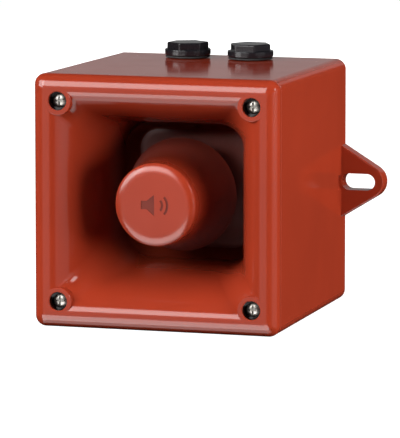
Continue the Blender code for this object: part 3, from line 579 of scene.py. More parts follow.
def loft(name, sections):
    """Joins rounded squares, each (forward, half width, corner radius), into one solid."""
    bm = bmesh.new()
    rings = []
    for forward, half, corner in sections:
        rings.append([bm.verts.new((*point, forward)) for point in rounded_square(half, corner)])
    for lower, upper in zip(rings, rings[1:]):
        for i in range(len(lower)):
            bm.faces.new((lower[i - 1], lower[i], upper[i], upper[i - 1]))
    bm.faces.new(reversed(rings[0]))
    bm.faces.new(rings[-1])
    bmesh.ops.recalc_face_normals(bm, faces=bm.faces)
    return from_bmesh(name, bm)


def square_ring(name, inner, outer, forward, corner):
    back, front = forward
    made = loft(name, [(back, outer, corner), (front, outer, corner)])
    hole = [(back - WALL, inner, corner / 2), (front + WALL, inner, corner / 2)]
    return cut(made, loft(name + "_hole", hole))


def cylinders(name, radius, forward, centres, steps=48):
    bm = bmesh.new()
    for x, z in centres:
        middle = Matrix.Translation((x, z, sum(forward) / 2))
        depth = forward[1] - forward[0]
        bmesh.ops.create_cone(
            bm, cap_ends=True, segments=steps, radius1=radius, radius2=radius, depth=depth, matrix=middle
        )
    return from_bmesh(name, bm)


def boxes(name, spans):
    """Boxes in the turned frame; each span holds x, forward and z pairs."""
    bm = bmesh.new()
    for x, forward, z in spans:
        size = (x[1] - x[0], z[1] - z[0], forward[1] - forward[0])
        middle = Matrix.Translation((sum(x) / 2, sum(z) / 2, sum(forward) / 2))
        bmesh.ops.create_cube(bm, size=1, matrix=middle @ Matrix.Diagonal((*size, 1)))
    return from_bmesh(name, bm)


def plate(name, outline, forward):
    """An outline in X and Z, as one closed loop, between two distances from the wall."""
    bm = bmesh.new()
    low = [bm.verts.new((x, z, forward[0])) for x, z in outline]
    high = [bm.verts.new((x, z, forward[1])) for x, z in outline]
    bm.faces.new(low)
    bm.faces.new(high)
    for i in range(len(outline)):
        bm.faces.new((low[i - 1], low[i], high[i], high[i - 1]))
    bmesh.ops.recalc_face_normals(bm, faces=bm.faces)
    return from_bmesh(name, bm)


# Casing


def flare_half(depth):
    return FLARE_END + (FLARE_MOUTH - FLARE_END) / (1 + depth / FLARE_LENGTH)


def flare_slope(depth):
    return (FLARE_MOUTH - FLARE_END) / FLARE_LENGTH / (1 + depth / FLARE_LENGTH) ** 2


def flare_corner(depth):
    part = min(1, depth / (0.6 * FLARE_DEPTH))
    return FLARE_CORNER + FLARE_CORNER_GROWTH * part**2 * (3 - 2 * part)


def flare_sections(depths, wall=0.0):
    sections = []
    for depth in depths:
        half = flare_half(depth) + wall * math.hypot(1, flare_slope(depth))
        corner = FLARE_CORNER + wall if wall else flare_corner(depth)
        sections.append((forward_of(depth), half, corner))
    return sections


def lip_sections(steps=16):
    """The flare's mouth, rolled from the front face into its curve."""
    start = Vector((0, LIP_HALF))
    end = Vector((LIP_DEPTH, flare_half(LIP_DEPTH)))
    corner = Vector((0, end.y + LIP_DEPTH * flare_slope(LIP_DEPTH)))
    sections = [(forward_of(-WALL), LIP_HALF, FLARE_CORNER)]
    for step in range(steps):
        t = step / steps
        point = (1 - t) ** 2 * start + 2 * t * (1 - t) * corner + t**2 * end
        sections.append((forward_of(point.x), point.y, flare_corner(point.x)))
    return sections


def edge_sections(front, half, steps=18):
    """The long rounding to the front face, whose corners tighten to FRONT_CORNER there."""
    made = []
    for step in range(steps + 1):
        angle = math.pi / 2 * step / steps
        part = 1 - math.cos(angle)
        corner = EDGE_RADIUS + (FRONT_CORNER - EDGE_RADIUS) * part
        made.append((front - FRONT_RADIUS * (1 - math.sin(angle)), half - FRONT_INSET * part, corner))
    return made


def merged(name, pieces):
    """One object from several that lie apart."""
    bm = bmesh.new()
    for piece in pieces:
        bm.from_mesh(piece.data)
        bpy.data.objects.remove(piece)
    return from_bmesh(name, bm, Matrix())


def front_horn():
    front = CASE_DEPTH
    seam = forward_of(SEAM_DEPTH - GAP / 2)
    sections = [(seam, case_half(seam) - SEAM_EDGE, EDGE_RADIUS - SEAM_EDGE)]
    sections += [(seam + SEAM_EDGE, case_half(seam + SEAM_EDGE), EDGE_RADIUS)]
    sections += edge_sections(front, FRONT_HALF)
    horn = loft("horn_shell", sections)
    outline = loft("horn_outline", sections)
    channel_half = case_half(seam) - WALL - GAP
    channel = [(f, channel_half, EDGE_RADIUS - WALL) for f in (seam - WALL, front - WALL)]
    cut(horn, loft("horn_channel", channel))
    outside = [0.0030 + 0.0750 * (i / 16) ** 1.8 for i in range(17)]
    join(horn, loft("horn_outside", flare_sections(outside, FLARE_WALL)))
    join(horn, square_ring("gasket_rib", LEDGE_HALF, RIB_HALF, between(RIB_DEPTHS), 0.003))
    inside = [LIP_DEPTH + (FLARE_DEPTH - LIP_DEPTH - THROAT_FILLET) * (i / 34) ** 1.4 for i in range(35)]
    sections = lip_sections() + flare_sections(inside)
    for step in range(1, 13):
        angle = math.pi / 2 * step / 12
        inset = THROAT_FILLET * (1 - math.cos(angle))
        depth = FLARE_DEPTH - THROAT_FILLET * (1 - math.sin(angle))
        sections.append((forward_of(depth), flare_half(depth) - inset, flare_corner(depth) - inset))
    cut(horn, loft("horn_inside", sections))
    back, floor = forward_of(BOSS_LENGTH), forward_of(COUNTERBORE_DEPTH)
    top = front - FLUSH
    boss = rounded(rod(BOSS_RADIUS, (back, top)), 0.0006)
    bosses = merged("horn_bosses", [turned("boss", boss, 64, c) for c in corners(SCREW_OFFSET)])
    join(horn, boolean(bosses, "INTERSECT", outline))
    radius = COUNTERBORE_RADIUS
    well = [(0, front + WALL), (radius + 0.0006, front + WALL), (radius + 0.0006, front + 0.0002)]
    well += [(radius + 0.0001, front - 0.0003), (radius, front - 0.0007), (radius, floor)]
    well += [(SCREW_HOLE_RADIUS, floor), (SCREW_HOLE_RADIUS, back - WALL), (0, back - WALL)]
    cut(horn, merged("screw_wells", [turned("well", well, 64, c) for c in corners(SCREW_OFFSET)]))
    bosses = between(DRIVER_BOSS_DEPTHS)
    join(horn, cylinders("driver_bosses", DRIVER_BOSS_RADIUS, bosses, corners(DRIVER_SCREW_OFFSET)))
    pilots = between(DRIVER_PILOT_DEPTHS)
    cut(horn, cylinders("driver_pilots", SCREW_HOLE_RADIUS, pilots, corners(DRIVER_SCREW_OFFSET)))
    cut(horn, cylinders("horn_throat", TUBE_RADIUS + 0.0004, between(THROAT_DEPTHS), [(0, 0)]))
    finish_piece(horn, "front_horn", RED_HORN)
    seal = square_ring("seal_ring", LEDGE_HALF, SEAL_HALF, between(SEAL_DEPTHS), 0.0024)
    finish_piece(bevelled(seal, 0.0007), "front_seal")


def lug_outline(side):
    root_x = REAR_HALF
    reach = math.hypot(LUG_TIP_X - root_x, LUG_ROOT)
    lean = math.degrees(math.asin(LUG_TIP_RADIUS / reach) + math.atan2(LUG_TIP_X - root_x, LUG_ROOT))
    points = [(root_x - WALL / 2, -LUG_ROOT), (root_x, -LUG_ROOT)]
    points += arc((LUG_TIP_X, 0), LUG_TIP_RADIUS, -lean, lean, 36)
    points += [(root_x, LUG_ROOT), (root_x - WALL / 2, LUG_ROOT)]
    return [(side * x, z) for x, z in points]


def slot_outline(side, grow=0.0):
    """A slot that runs along X, as one closed loop."""
    radius = SLOT_RADIUS + grow
    inner = arc((SLOT_INNER_X, 0), radius, 90, 270, 24)
    outer = arc((LUG_TIP_X, 0), radius, -90, 90, 24)
    return [(side * x, z) for x, z in inner + outer]


def pillar_webs():
    spans = []
    reach = (BACK_WALL / 2, forward_of(WEB_DEPTH))
    for side_x, side_z in corners(1):
        for x, z in ((WEB_LONG, WEB_THIN), (WEB_THIN, WEB_LONG)):
            spans.append((sorted(side_x * v for v in x), reach, sorted(side_z * v for v in z)))
    return spans


def rod(radius, ends):
    """The profile of a plain rod between two heights, given low first."""
    return [(0, ends[1]), (radius, ends[1]), (radius, ends[0]), (0, ends[0])]


def upright(name, profile, x, steps=64):
    """A turned piece whose axis stands along Z through a cable entry."""
    return turned(name, profile, steps, matrix=Matrix.Translation((x, -ENTRY_FORWARD, 0)))


def rear_housing():
    seam = forward_of(SEAM_DEPTH + GAP / 2)
    sections = []
    for step in range(5):
        angle = math.pi / 2 * step / 4
        inset = REAR_RADIUS * (1 - math.sin(angle))
        forward = REAR_RADIUS * (1 - math.cos(angle))
        sections.append((forward, case_half(forward) - inset, EDGE_RADIUS - inset))
    sections.append((seam - SEAM_EDGE, case_half(seam - SEAM_EDGE), EDGE_RADIUS))
    sections.append((seam, case_half(seam) - SEAM_EDGE, EDGE_RADIUS - SEAM_EDGE))
    housing = loft("housing_shell", sections)
    lugs = [plate("lug", lug_outline(side), (0.00002, LUG_THICKNESS)) for side in (1, -1)]
    join(housing, bevelled(merged("lugs", lugs), 0.0007, 3, math.radians(50)))
    inside = [(f, case_half(f) - WALL, EDGE_RADIUS - WALL) for f in (BACK_WALL, CASE_DEPTH)]
    cut(housing, loft("housing_inside", inside))
    ledge = between(LEDGE_DEPTHS)
    join(housing, square_ring("gasket_ledge", LEDGE_HALF, case_half(seam) - WALL / 2, ledge, 0.003))
    pillar = (BACK_WALL / 2, forward_of(BOSS_LENGTH + GAP))
    join(housing, cylinders("screw_pillars", PILLAR_RADIUS, pillar, corners(SCREW_OFFSET)))
    join(housing, boxes("pillar_webs", pillar_webs()))
    bore = (forward_of(INSERT_BORE_DEPTH), CASE_DEPTH)
    cut(housing, cylinders("insert_bores", INSERT_BORE, bore, corners(SCREW_OFFSET)))
    pillar = (BACK_WALL / 2, BOARD_BACK - GAP)
    join(housing, cylinders("board_pillars", BOARD_PILLAR_RADIUS, pillar, BOARD_SCREWS))
    cut(housing, cylinders("board_pilots", BOARD_HOLE_RADIUS, BOARD_PILOTS, BOARD_SCREWS))
    boss = rod(ENTRY_BOSS_RADIUS, ENTRY_BOSS_Z)
    join(housing, merged("entry_bosses", [upright("boss", boss, x) for x in (-ENTRY_X, ENTRY_X)]))
    hole = rod(ENTRY_RADIUS, ENTRY_HOLE_Z)
    cut(housing, merged("entry_holes", [upright("hole", hole, x) for x in (-ENTRY_X, ENTRY_X)]))
    slots = [plate("slot", slot_outline(side), (-0.010, 0.020)) for side in (1, -1)]
    cut(housing, merged("lug_slots", slots))
    scallop = (LUG_THICKNESS - FLUSH, LUG_THICKNESS + SCALLOP_LENGTH)
    centres = [(side * SLOT_INNER_X, 0) for side in (1, -1)]
    cut(housing, cylinders("scallops", SCALLOP_RADIUS, scallop, centres))
    finish_piece(housing, "rear_housing")


# Bell, tube and screws


def bell_radius(depth):
    reach = max(0, depth - CAP_DEPTH - CAP_EDGE) / (BELL_DEPTH - CAP_DEPTH - CAP_EDGE)
    return CAP_RADIUS + (BELL_RADIUS - CAP_RADIUS) * reach**1.7


def speaker_outline():
    """A plain loudspeaker that points to the right."""
    right = [(0.0, -0.0055), (0.0, 0.0055)]
    return [(-0.0072, -0.0022), (-0.0040, -0.0022), *right, (-0.0040, 0.0022), (-0.0072, 0.0022)]


def reentrant_bell():
    face = forward_of(CAP_DEPTH)
    outer = [(0, face)]
    for across, along in arc((0, 0), 1, 90, 0, 20):
        outer.append((CAP_RADIUS - CAP_CROWN * (1 - across), face - CAP_EDGE * (1 - along)))
    depths = [0.006 + (BELL_DEPTH - 0.0006 - 0.006) * i / 22 for i in range(23)]
    outer += [(bell_radius(depth), forward_of(depth)) for depth in depths]
    rim = (bell_radius(BELL_DEPTH) - BELL_WALL / 2, forward_of(BELL_DEPTH - BELL_WALL / 2))
    outer = outer[:-1] + arc(rim, BELL_WALL / 2, 0, -180, 10)
    inner = [(bell_radius(d) - BELL_WALL, forward_of(d)) for d in reversed(depths[:-1])]
    top = CAP_RADIUS - BELL_WALL
    inner += arc((top - 0.003, face - BELL_WALL - 0.003), 0.003, 0, 90, 6) + [(0, face - BELL_WALL)]
    bell = turned("bell", outer + inner, 128)
    recess = (face - MARK_DEPTH, face + 0.001)
    marks = plate("pictogram_speaker", speaker_outline(), recess)
    cut(bell, marks)
    for index, radius in enumerate(MARK_WAVES):
        ends = arc((0.0005, 0), radius + 0.0008, -42, 42, 16) + arc((0.0005, 0), radius - 0.0004, 42, -42, 16)
        cut(bell, plate(f"pictogram_wave_{index}", ends, recess))
    finish_piece(bell, "reentrant_bell", RED_BELL)


def sound_tube():
    back, flange = between(TUBE_FLANGE_DEPTHS)
    mouth = forward_of(TUBE_DEPTH)
    outer = [(TUBE_BORE + 0.0006, mouth), (TUBE_RADIUS, mouth), (TUBE_RADIUS, flange)]
    outer += [(TUBE_FLANGE_RADIUS, flange), (TUBE_FLANGE_RADIUS, back), (TUBE_BORE, back)]
    outer += [(TUBE_BORE, mouth), (TUBE_BORE + 0.0006, mouth)]
    tube = turned("tube", rounded(outer, 0.0006)[:-1], 96, closed=True)
    reach = between(FIN_DEPTHS)
    for number in range(3):
        fin = bevelled(boxes("tube_fin", [((0.0100, 0.0203), reach, (-0.0012, 0.0012))]), 0.0003)
        fin.data.transform(Matrix.Rotation(math.radians(90 + 120 * number), 4, "Y"))
        join(tube, fin)
    finish_piece(tube, "sound_tube", RED_BELL)


def screw_profile(head_radius, head_height, radius, length):
    """A pan head on a shank, from the crown down; height 0 is under the head."""
    angles = (0, 0.3, 0.6, 0.85, 1.1)
    crown = [(head_radius * math.sin(a), head_height * (0.42 + 0.58 * math.cos(a))) for a in angles]
    side = [(head_radius * 0.985, head_height * 0.55), (head_radius, head_height * 0.35)]
    side.append((head_radius, 0.0002))
    under = [(head_radius - 0.0002, 0), (radius, 0), (radius, 0.0006 - length), (0.7 * radius, -length)]
    return crown + side + under + [(0, -length)]


def pan_screw(node, centre, seat, head, shank, facing=1):
    """A cross-recess pan screw; facing -1 turns its head to the wall."""
    profile = [(radius, seat + facing * height) for radius, height in screw_profile(*head, *shank)]
    screw = turned(node + "_body", profile, 48, centre)
    ends = sorted((seat + facing * 0.45 * head[1], seat + facing * (head[1] + 0.001)))
    long, thin = 0.58 * head[0], 0.13 * head[0]
    for index, (x, z) in enumerate(((long, thin), (thin, 1.001 * long))):
        span = ((centre[0] - x, centre[0] + x), ends, (centre[1] - z, centre[1] + z))
        cut(screw, boxes(f"{node}_arm_{index}", [span]))
    return finish_piece(screw, node)


def middle_of(node):
    low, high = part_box(node)
    return ((low.x + high.x) / 2, (low.z + high.z) / 2)


def screws():
    seat = forward_of(COUNTERBORE_DEPTH - GAP)
    driver_seat = forward_of(RING_DEPTH)
    for number in range(1, 5):
        node = f"cover_screw_{number}"
        pan_screw(node, middle_of(node), seat, *COVER_SCREW)
        node = f"driver_screw_{number}"
        pan_screw(node, middle_of(node), driver_seat, *DRIVER_SCREW, -1)
    for number in range(1, 4):
        node = f"board_screw_{number}"
        pan_screw(node, middle_of(node), ON_BOARD, *BOARD_SCREW)


# Driver


def fine_ring(node, inner, edge=0.0004, steps=128, centre=(0, 0)):
    """A ring that faces forward, with the node's outer radius and thickness and this inner radius."""
    low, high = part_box(node)
    outer, front, back = high.x - centre[0], -low.y, -high.y
    middle = (inner + outer) / 2
    profile = [(middle, front), (outer, front), (outer, back)]
    profile += [(inner, back), (inner, front), (middle, front)]
    edge = min(edge, (front - back) / 3)
    ring = turned(node + "_ring", rounded(profile, edge)[:-1], steps, centre, closed=True)
    return finish_piece(ring, node)


def front_plate():
    low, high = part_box("driver_front_plate")
    front, back = -low.y, forward_of(PLATE_DEPTH + PLATE_THICKNESS)
    radius = high.x
    profile = [(0.020, front), (radius, front), (radius, back), (0.0225, back), (0.0165, back + 0.0028)]
    profile += [(0.0100, back + 0.0028), (TUBE_BORE, front), (0.020, front)]
    plate_piece = turned("front_plate", rounded(profile, 0.0007)[:-1], 128, closed=True)
    holes = (back - WALL, front + WALL)
    cut(plate_piece, cylinders("plate_holes", SCREW_HOLE_RADIUS, holes, corners(DRIVER_SCREW_OFFSET)))
    finish_piece(plate_piece, "driver_front_plate")


def pole_piece():
    low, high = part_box("pole_piece")
    top, back, yoke = -low.y, -high.y, forward_of(YOKE_DEPTH)
    profile = [(0, top), (POLE_RADIUS, top), (POLE_RADIUS, yoke), (high.x, yoke), (high.x, back), (0, back)]
    finish_piece(turned("pole_and_yoke", rounded(profile, 0.0006), 128), "pole_piece")


def diaphragm_dome():
    rim = forward_of(DOME_DEPTH)
    bend = (DOME_RADIUS**2 + DOME_RISE**2) / (2 * DOME_RISE)
    radii = [DOME_RADIUS * step / 24 for step in range(25)]
    outer = [(r, rim + DOME_RISE - bend + math.sqrt(bend**2 - r**2)) for r in radii]
    inner = [(r, height - DOME_THICKNESS) for r, height in reversed(outer)]
    finish_piece(turned("dome", outer + inner, 96), "diaphragm_dome")


def driver_terminals():
    strip = ((0.0272, 0.034), (0.0449, 0.0477), (-0.008, 0.008))
    finish_piece(bevelled(boxes("terminal_strip", [strip]), 0.0003), "driver_terminals")
    spans = [((0.0335, 0.038), (0.0440, 0.0453), (z - 0.0015, z + 0.0015)) for z in TAG_PLACES]
    tags = bevelled(boxes("terminal_tags", spans), 0.0002, 2)
    cut(tags, cylinders("tag_eyes", 0.0006, (0.043, 0.047), [(0.0367, z) for z in TAG_PLACES], 20))
    finish_piece(tags, "driver_terminals", slot="plated_steel")


def driver():
    front_plate()
    for node, inner in DRIVER_RINGS.items():
        fine_ring(node, inner)
    pole_piece()
    diaphragm_dome()
    driver_terminals()


def smooth_route(route, steps=10):
    """Points on a smooth curve through the route's points, which hold x, forward and z."""
    points = [Vector((x, -forward, z)) for x, forward, z in route]
    points = [2 * points[0] - points[1], *points, 2 * points[-1] - points[-2]]
    path = []
    for before, start, end, after in zip(points, points[1:], points[2:], points[3:]):
        for step in range(steps):
            t = step / steps
            bend = (2 * before - 5 * start + 4 * end - after) * t**2
            bend += (3 * start - before - 3 * end + after) * t**3
            path.append((2 * start + (end - before) * t + bend) / 2)
    return path + [points[-2]]


def lead(node, route):
    curve = bpy.data.curves.new(node + "_wire", "CURVE")
    curve.dimensions = "3D"
    curve.bevel_depth = LEAD_RADIUS
    curve.bevel_resolution = 6
    curve.use_fill_caps = True
    path = smooth_route(route)
    spline = curve.splines.new("POLY")
    spline.points.add(len(path) - 1)
    for point, position in zip(spline.points, path):
        point.co = (*position, 1)
    drawn = place(node + "_route", curve)
    bpy.context.view_layer.update()
    graph = bpy.context.evaluated_depsgraph_get()
    mesh = bpy.data.meshes.new_from_object(drawn.evaluated_get(graph))
    bpy.data.objects.remove(drawn)
    finish_piece(place(node + "_wire", mesh), node, weight=False)


def driver_leads():
    pins = [PLUG_X - PIN_PITCH / 2, PLUG_X + PIN_PITCH / 2]
    lead("driver_lead_red", [*RED_ROUTE, (pins[0], LEAD_END, PLUG_Z)])
    lead("driver_lead_black", [*BLACK_ROUTE, (pins[1], LEAD_END, PLUG_Z)])
    x, forward, z = span_of("driver_connector")
    shell = bevelled(boxes("lead_plug", [(x, forward, z)]), 0.0004)
    holes = [(around(pin, PIN_HOLE / 2), (0.014, 0.021), around(PLUG_Z, PIN_HOLE / 2)) for pin in pins]
    cut(shell, boxes("plug_holes", holes))
    finish_piece(shell, "driver_connector")
    shroud = bevelled(boxes("header_shroud", [(x, (ON_BOARD, SHROUD_TOP), z)]), 0.0003)
    finish_piece(shroud, "connector_header")
    spans = [(around(pin, PIN_SIDE / 2), (0.0145, 0.020), around(PLUG_Z, PIN_SIDE / 2)) for pin in pins]
    finish_piece(bevelled(boxes("header_pins", spans), 0.0001, 2), "connector_header", slot="plated_steel")


# Electronics


def solid(node, spans, edge, cutters=(), **finish):
    """Bevelled boxes, less these cutters, in a node's place."""
    made = bevelled(boxes(node + "_body", spans), edge)
    cut(made, *cutters)
    return finish_piece(made, node, **finish)


def circuit_board():
    span = span_of("circuit_board")
    back, front = span[1]
    holes = cylinders("board_holes", BOARD_HOLE_RADIUS, (back - WALL, front + WALL), BOARD_SCREWS)
    solid("circuit_board", [span], 0.0002, [holes])


def terminal_block():
    places = [TERMINAL_PITCH * (i - 1.5) for i in range(4)]
    chambers = [(around(x, 0.0016), (0.0138, 0.0185), (0.0315, 0.039)) for x in places]
    wells = cylinders("terminal_wells", 0.0019, (0.018, 0.024), [(x, TERMINAL_SCREW_Z) for x in places], 40)
    lines = (-TERMINAL_PITCH, 0, TERMINAL_PITCH)
    grooves = [(around(x, 0.00015), (0.0219, 0.024), (0.028, 0.0385)) for x in lines]
    cutters = [boxes("terminal_chambers", chambers), wells, boxes("terminal_grooves", grooves)]
    solid("terminal_block", [((-0.0103, 0.0103), (ON_BOARD, 0.0223), (0.029, 0.0375))], 0.0004, cutters)
    profile = rounded(rod(0.0015, (0.0188, 0.0216)), 0.0002)
    for number in range(1, 5):
        node = f"terminal_screw_{number}"
        x, z = middle_of(node)
        screw = turned(node + "_body", profile, 40, (x, z))
        slot = ((x - 0.003, x + 0.003), (0.0210, 0.023), (z - 0.00025, z + 0.00025))
        finish_piece(cut(screw, boxes(node + "_slot", [slot])), node)


def tone_switch():
    heights = [middle_of(f"tone_slider_{number}")[1] for number in range(1, 6)]
    slots = [((-0.0433, -0.0397), (0.0162, 0.019), (z - 0.0008, z + 0.0008)) for z in heights]
    body = ((-0.0455, -0.0375), (ON_BOARD, 0.0178), (0.003, 0.017))
    solid("tone_switch", [body], 0.0003, [boxes("tone_slots", slots)])
    for number, z in enumerate(heights, 1):
        span = ((-0.0429, -0.0414), (0.0165, 0.0185), (z - 0.0005, z + 0.0005))
        solid(f"tone_slider_{number}", [span], 0.00015)


def volume_control():
    x, z = VOLUME_CENTRE
    well = cylinders("volume_well", 0.0036, (0.0145, 0.019), [(x, z)], 64)
    solid("volume_control", [((-0.045, -0.035), (ON_BOARD, 0.0173), (-0.012, -0.002))], 0.0003, [well])
    profile = rounded(rod(0.0031, (0.0148, 0.0178)), 0.0003)
    rotor = turned("volume_knob", profile, 64, (x, z))
    slot = ((x - 0.0022, x + 0.0022), (0.0170, 0.019), (z - 0.0004, z + 0.0004))
    finish_piece(cut(rotor, boxes("rotor_slot", [slot])), "volume_rotor")


def transformer():
    sides = ((-0.0403, -0.0367), (-0.0293, -0.0257))
    windows = boxes("core_windows", [(x, (0.016, 0.0266), (-0.040, -0.022)) for x in sides])
    solid("transformer_core", [((-0.044, -0.022), (ON_BOARD, 0.0303), (-0.038, -0.024))], 0.0004, [windows])
    hole = boxes("winding_hole", [((-0.0370, -0.0290), (0.012, 0.032), (-0.0383, -0.0237))])
    solid("transformer_winding", [((-0.040, -0.026), (0.0163, 0.0263), (-0.0415, -0.0205))], 0.0012, [hole])


def capacitors():
    for number in (1, 2):
        node = f"reservoir_capacitor_{number}"
        low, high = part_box(node)
        x, z = middle_of(node)
        radius, top = high.x - x, -low.y
        neck = ON_BOARD + 0.0022
        sleeve = [(0, top - 0.0004), (0.0046, top - 0.0004), (0.0049, top), (radius, top)]
        sleeve += [(radius, neck + 0.0008), (radius - 0.0005, neck), (radius, neck - 0.0008)]
        sleeve = rounded(sleeve + [(radius, ON_BOARD), (0, ON_BOARD)], 0.0005)
        finish_piece(turned(node + "_sleeve", sleeve, 64, (x, z)), node)
        lid = rod(0.0045, (top - 0.001, top - 0.0001))
        can = turned(node + "_can", rounded(lid, 0.0002), 64, (x, z))
        for index, (a, b) in enumerate(((0.0032, 0.0002), (0.0002, 0.0033))):
            span = ((x - a, x + a), (top - 0.0004, top + 0.001), (z - b, z + b))
            cut(can, boxes(f"vent_{index}", [span]))
        finish_piece(can, node, slot="aluminium")


def heat_sink():
    sink = bevelled(boxes("sink_plate", [((0.0505, 0.052), (ON_BOARD, 0.0323), (-0.022, -0.002))]), 0.0002, 2)
    for z in (-0.0205, -0.0128, -0.0050):
        rib = bevelled(boxes("sink_rib", [((0.0515, 0.056), (0.0135, 0.0318), (z, z + 0.0015))]), 0.0003, 2)
        join(sink, rib)
    finish_piece(sink, "heat_sink")


def power_transistor():
    solid("power_transistor", [((0.0458, 0.0502), (0.016, 0.025), (-0.017, -0.007))], 0.0003)
    legs = [((0.0471, 0.0479), (ON_BOARD, 0.0165), (z, z + 0.0008)) for z in (-0.0149, -0.0124, -0.0099)]
    eye = turned("tab_eye", rod(0.0016, (-0.010, 0.010)), 32)
    aside = Matrix.Rotation(math.radians(90), 4, "Z")
    eye.data.transform(Matrix.Translation((0.0495, -0.0285, -0.012)) @ aside)
    tab = boxes("transistor_tab", [((0.0489, 0.05015), (0.0245, 0.031), (-0.0168, -0.0072))])
    cut(tab, eye)
    metalwork = merged("transistor_metal", [tab, boxes("transistor_legs", legs)])
    finish_piece(bevelled(metalwork, 0.0001, 1), "power_transistor", slot="plated_steel")


def tone_chip():
    dimple = cylinders("pin_one", 0.0005, (0.0157, 0.017), [(-0.0040, -0.0208)], 24)
    solid("tone_chip", [((-0.005, 0.005), (0.0128, 0.0160), (-0.0222, -0.0158))], 0.0003, [dimple])
    legs = []
    for x in (-0.0038, -0.0013, 0.0013, 0.0038):
        for z in (-0.0236, -0.0166):
            legs.append(((x - 0.0003, x + 0.0003), (ON_BOARD, 0.0139), (z, z + 0.0022)))
    finish_piece(bevelled(boxes("chip_legs", legs), 0.0001, 1), "tone_chip", slot="plated_steel")


def inserts():
    for number in range(1, 5):
        node = f"pillar_insert_{number}"
        fine_ring(node, INSERT_INNER, 0.0003, 64, middle_of(node))


# Cable entries


def entry_plug(number):
    node = f"entry_plug_{number}"
    low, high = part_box(node)
    x = (low.x + high.x) / 2
    seat = high.z - PLUG_TOP
    radius = PLUG_FLANGE_RADIUS
    profile = [(0, PLUG_FLANGE_TOP), (radius, PLUG_FLANGE_TOP), (radius, PLUG_FLANGE_LOW)]
    profile = rounded(profile + [(PLUG_SHANK_RADIUS, PLUG_FLANGE_LOW)], 0.0006)
    height = -0.0006
    while height - THREAD_PITCH > -0.0076:
        for drop, inset in ((0, THREAD_DEPTH), (0.3, 0), (0.5, 0), (0.9, THREAD_DEPTH)):
            profile.append((PLUG_SHANK_RADIUS - inset, height - drop * THREAD_PITCH))
        height -= THREAD_PITCH
    profile += [(PLUG_SHANK_RADIUS - THREAD_DEPTH, PLUG_END), (0.0078, PLUG_END), (0.0078, 0.0025)]
    profile.append((0, 0.0025))
    lift = Matrix.Translation((x, -ENTRY_FORWARD, seat))
    plug = turned(node + "_flange", profile, 96, matrix=lift)
    bm = bmesh.new()
    head_height = PLUG_TOP - PLUG_FLANGE_TOP + 0.001
    radii = {"radius1": PLUG_HEX_RADIUS, "radius2": PLUG_HEX_RADIUS}
    bmesh.ops.create_cone(bm, cap_ends=True, segments=6, depth=head_height, **radii)
    turn = Matrix.Rotation(PLUG_HEX_ANGLES[number] - math.radians(30), 4, "Z")
    rise = Matrix.Translation((0, 0, PLUG_TOP - head_height / 2))
    head = from_bmesh(node + "_head", bm, lift @ rise @ turn)
    join(plug, bevelled(head, 0.0008, 4, math.radians(25)))
    finish_piece(plug, node)


def plug_seal(number):
    node = f"plug_seal_{number}"
    low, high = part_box(node)
    middle = (low + high) / 2
    half = (high.z - low.z) / 2
    outer, inner = (high.x - low.x) / 2, PLUG_SEAL_INNER
    profile = []
    for centre, start in ((outer - half, 90), (inner + half, 270)):
        profile += arc((centre, 0), half, start, start - 180, 10)
    lift = Matrix.Translation(middle)
    seal = turned(node + "_ring", profile, 72, closed=True, matrix=lift)
    finish_piece(seal, node, weight=False)


# Stage

FLOOR_Z = HORN_LOW.z - 0.0002
FLOOR_SIZE = 6
AIM = Vector((-0.0148, -0.0080, -0.0241))
DISTANCE = 2.4452
AZIMUTH = math.radians(17.44)
ELEVATION = math.radians(7.70)
LENS = 365.66


def floor_paper():
    n = Nodes("floor_paper")
    tint = n.mix(n.noise(3, 3), (0.30, 0.30, 0.30), (0.28, 0.28, 0.28))
    n.shade(Base_Color=tint, Roughness=0.9, Emission_Color=(1, 1, 1), Emission_Strength=0.96)
    n.set(n.shader.inputs["Specular IOR Level"], 0.1)
    return n.material


def floor():
    """A floor that only the camera sees, so the lights below it can show in the siren's gloss."""
    bm = bmesh.new()
    square = [(-1, -1), (1, -1), (1, 1), (-1, 1)]
    bm.faces.new([bm.verts.new((FLOOR_SIZE * x, FLOOR_SIZE * y, FLOOR_Z)) for x, y in square])
    sheet = from_bmesh("floor", bm, Matrix())
    sheet.data.materials.append(floor_paper())
    sheet.visible_glossy = False
    sheet.visible_diffuse = False
    sheet.visible_shadow = False


def softbox(name, azimuth, elevation, width, height, radiance, reach=1.7, seen="both"):
    """A soft light seen from the siren at these angles; 0 azimuth is in front, and right is plus."""
    aim = Vector((0, -CASE_DEPTH / 2, 0))
    across, up = math.radians(azimuth), math.radians(elevation)
    ahead = Vector((math.sin(across) * math.cos(up), -math.cos(across) * math.cos(up), math.sin(up)))
    light = bpy.data.lights.new(name, "AREA")
    light.shape = "RECTANGLE"
    light.size = 2 * reach * math.tan(math.radians(width / 2))
    light.size_y = 2 * reach * math.tan(math.radians(height / 2))
    light.energy = radiance * math.pi * light.size * light.size_y
    lamp = bpy.data.objects.new(name, light)
    bpy.context.scene.collection.objects.link(lamp)
    lamp.location = aim + reach * ahead
    lamp.rotation_euler = (-ahead).to_track_quat("-Z", "Y").to_euler()
    lamp.visible_camera = False
    lamp.visible_diffuse = seen != "gloss"
    lamp.visible_glossy = seen != "diffuse"
    return lamp


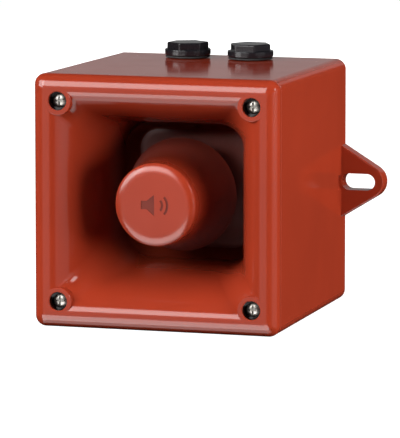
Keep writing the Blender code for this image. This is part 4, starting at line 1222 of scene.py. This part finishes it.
def lights():
    """The studio: boxes that light the siren, and cards that only its gloss or its colour sees."""
    softbox("key", -20, 24, 30, 22, 11.0, seen="diffuse")
    softbox("key_card", -20, 28, 40, 32, 6.4, seen="gloss")
    softbox("key_left", -50, 20, 30, 30, 7.0)
    softbox("left", -80, 15, 30, 40, 2.7, seen="diffuse")
    softbox("right", 70, 4, 30, 16, 19.0, reach=0.9, seen="diffuse")
    softbox("right_back", 100, 12, 30, 30, 6.4, seen="diffuse")
    softbox("behind", 195, 8, 50, 30, 7.0, seen="diffuse")
    softbox("top", 0, 75, 40, 30, 2.0, seen="diffuse")
    softbox("front_card", -17, -6, 50, 32, 0.65, seen="gloss")
    softbox("low_card", -17, -36, 60, 30, 4.9, seen="gloss")
    softbox("under_card", -17, -62, 60, 30, 2.1, seen="gloss")
    softbox("right_card", 70, -8, 50, 30, 0.5, seen="gloss")
    softbox("corner_card", 70, 24, 14, 12, 7.0, seen="gloss")
    softbox("back_card", -163, 11, 60, 18, 0.3, seen="gloss")
    world = bpy.data.worlds.new("studio")
    bpy.context.scene.world = world
    world.use_nodes = True
    tree = world.node_tree
    seen = tree.nodes.new("ShaderNodeLightPath").outputs["Is Camera Ray"]
    strength = tree.nodes.new("ShaderNodeMapRange")
    tree.links.new(seen, strength.inputs["Value"])
    strength.inputs["To Min"].default_value = 0.01
    strength.inputs["To Max"].default_value = 1
    tree.links.new(strength.outputs[0], tree.nodes["Background"].inputs["Strength"])
    tree.nodes["Background"].inputs["Color"].default_value = (1, 1, 1, 1)


def camera():
    lens = bpy.data.cameras.new("view")
    lens.lens = LENS
    lens.sensor_width = 36
    eye = bpy.data.objects.new("view", lens)
    bpy.context.scene.collection.objects.link(eye)
    across = math.cos(ELEVATION)
    ahead = Vector((-math.sin(AZIMUTH) * across, math.cos(AZIMUTH) * across, -math.sin(ELEVATION)))
    eye.location = AIM - DISTANCE * ahead
    eye.rotation_euler = ahead.to_track_quat("-Z", "Y").to_euler()
    bpy.context.scene.camera = eye


def build():
    camera()
    front_horn()
    rear_housing()
    reentrant_bell()
    sound_tube()
    screws()
    driver()
    driver_leads()
    circuit_board()
    terminal_block()
    tone_switch()
    volume_control()
    transformer()
    capacitors()
    heat_sink()
    power_transistor()
    tone_chip()
    inserts()
    for number in (1, 2):
        entry_plug(number)
        plug_seal(number)
    floor()
    lights()
    bpy.context.scene.view_settings.view_transform = "Standard"


build()
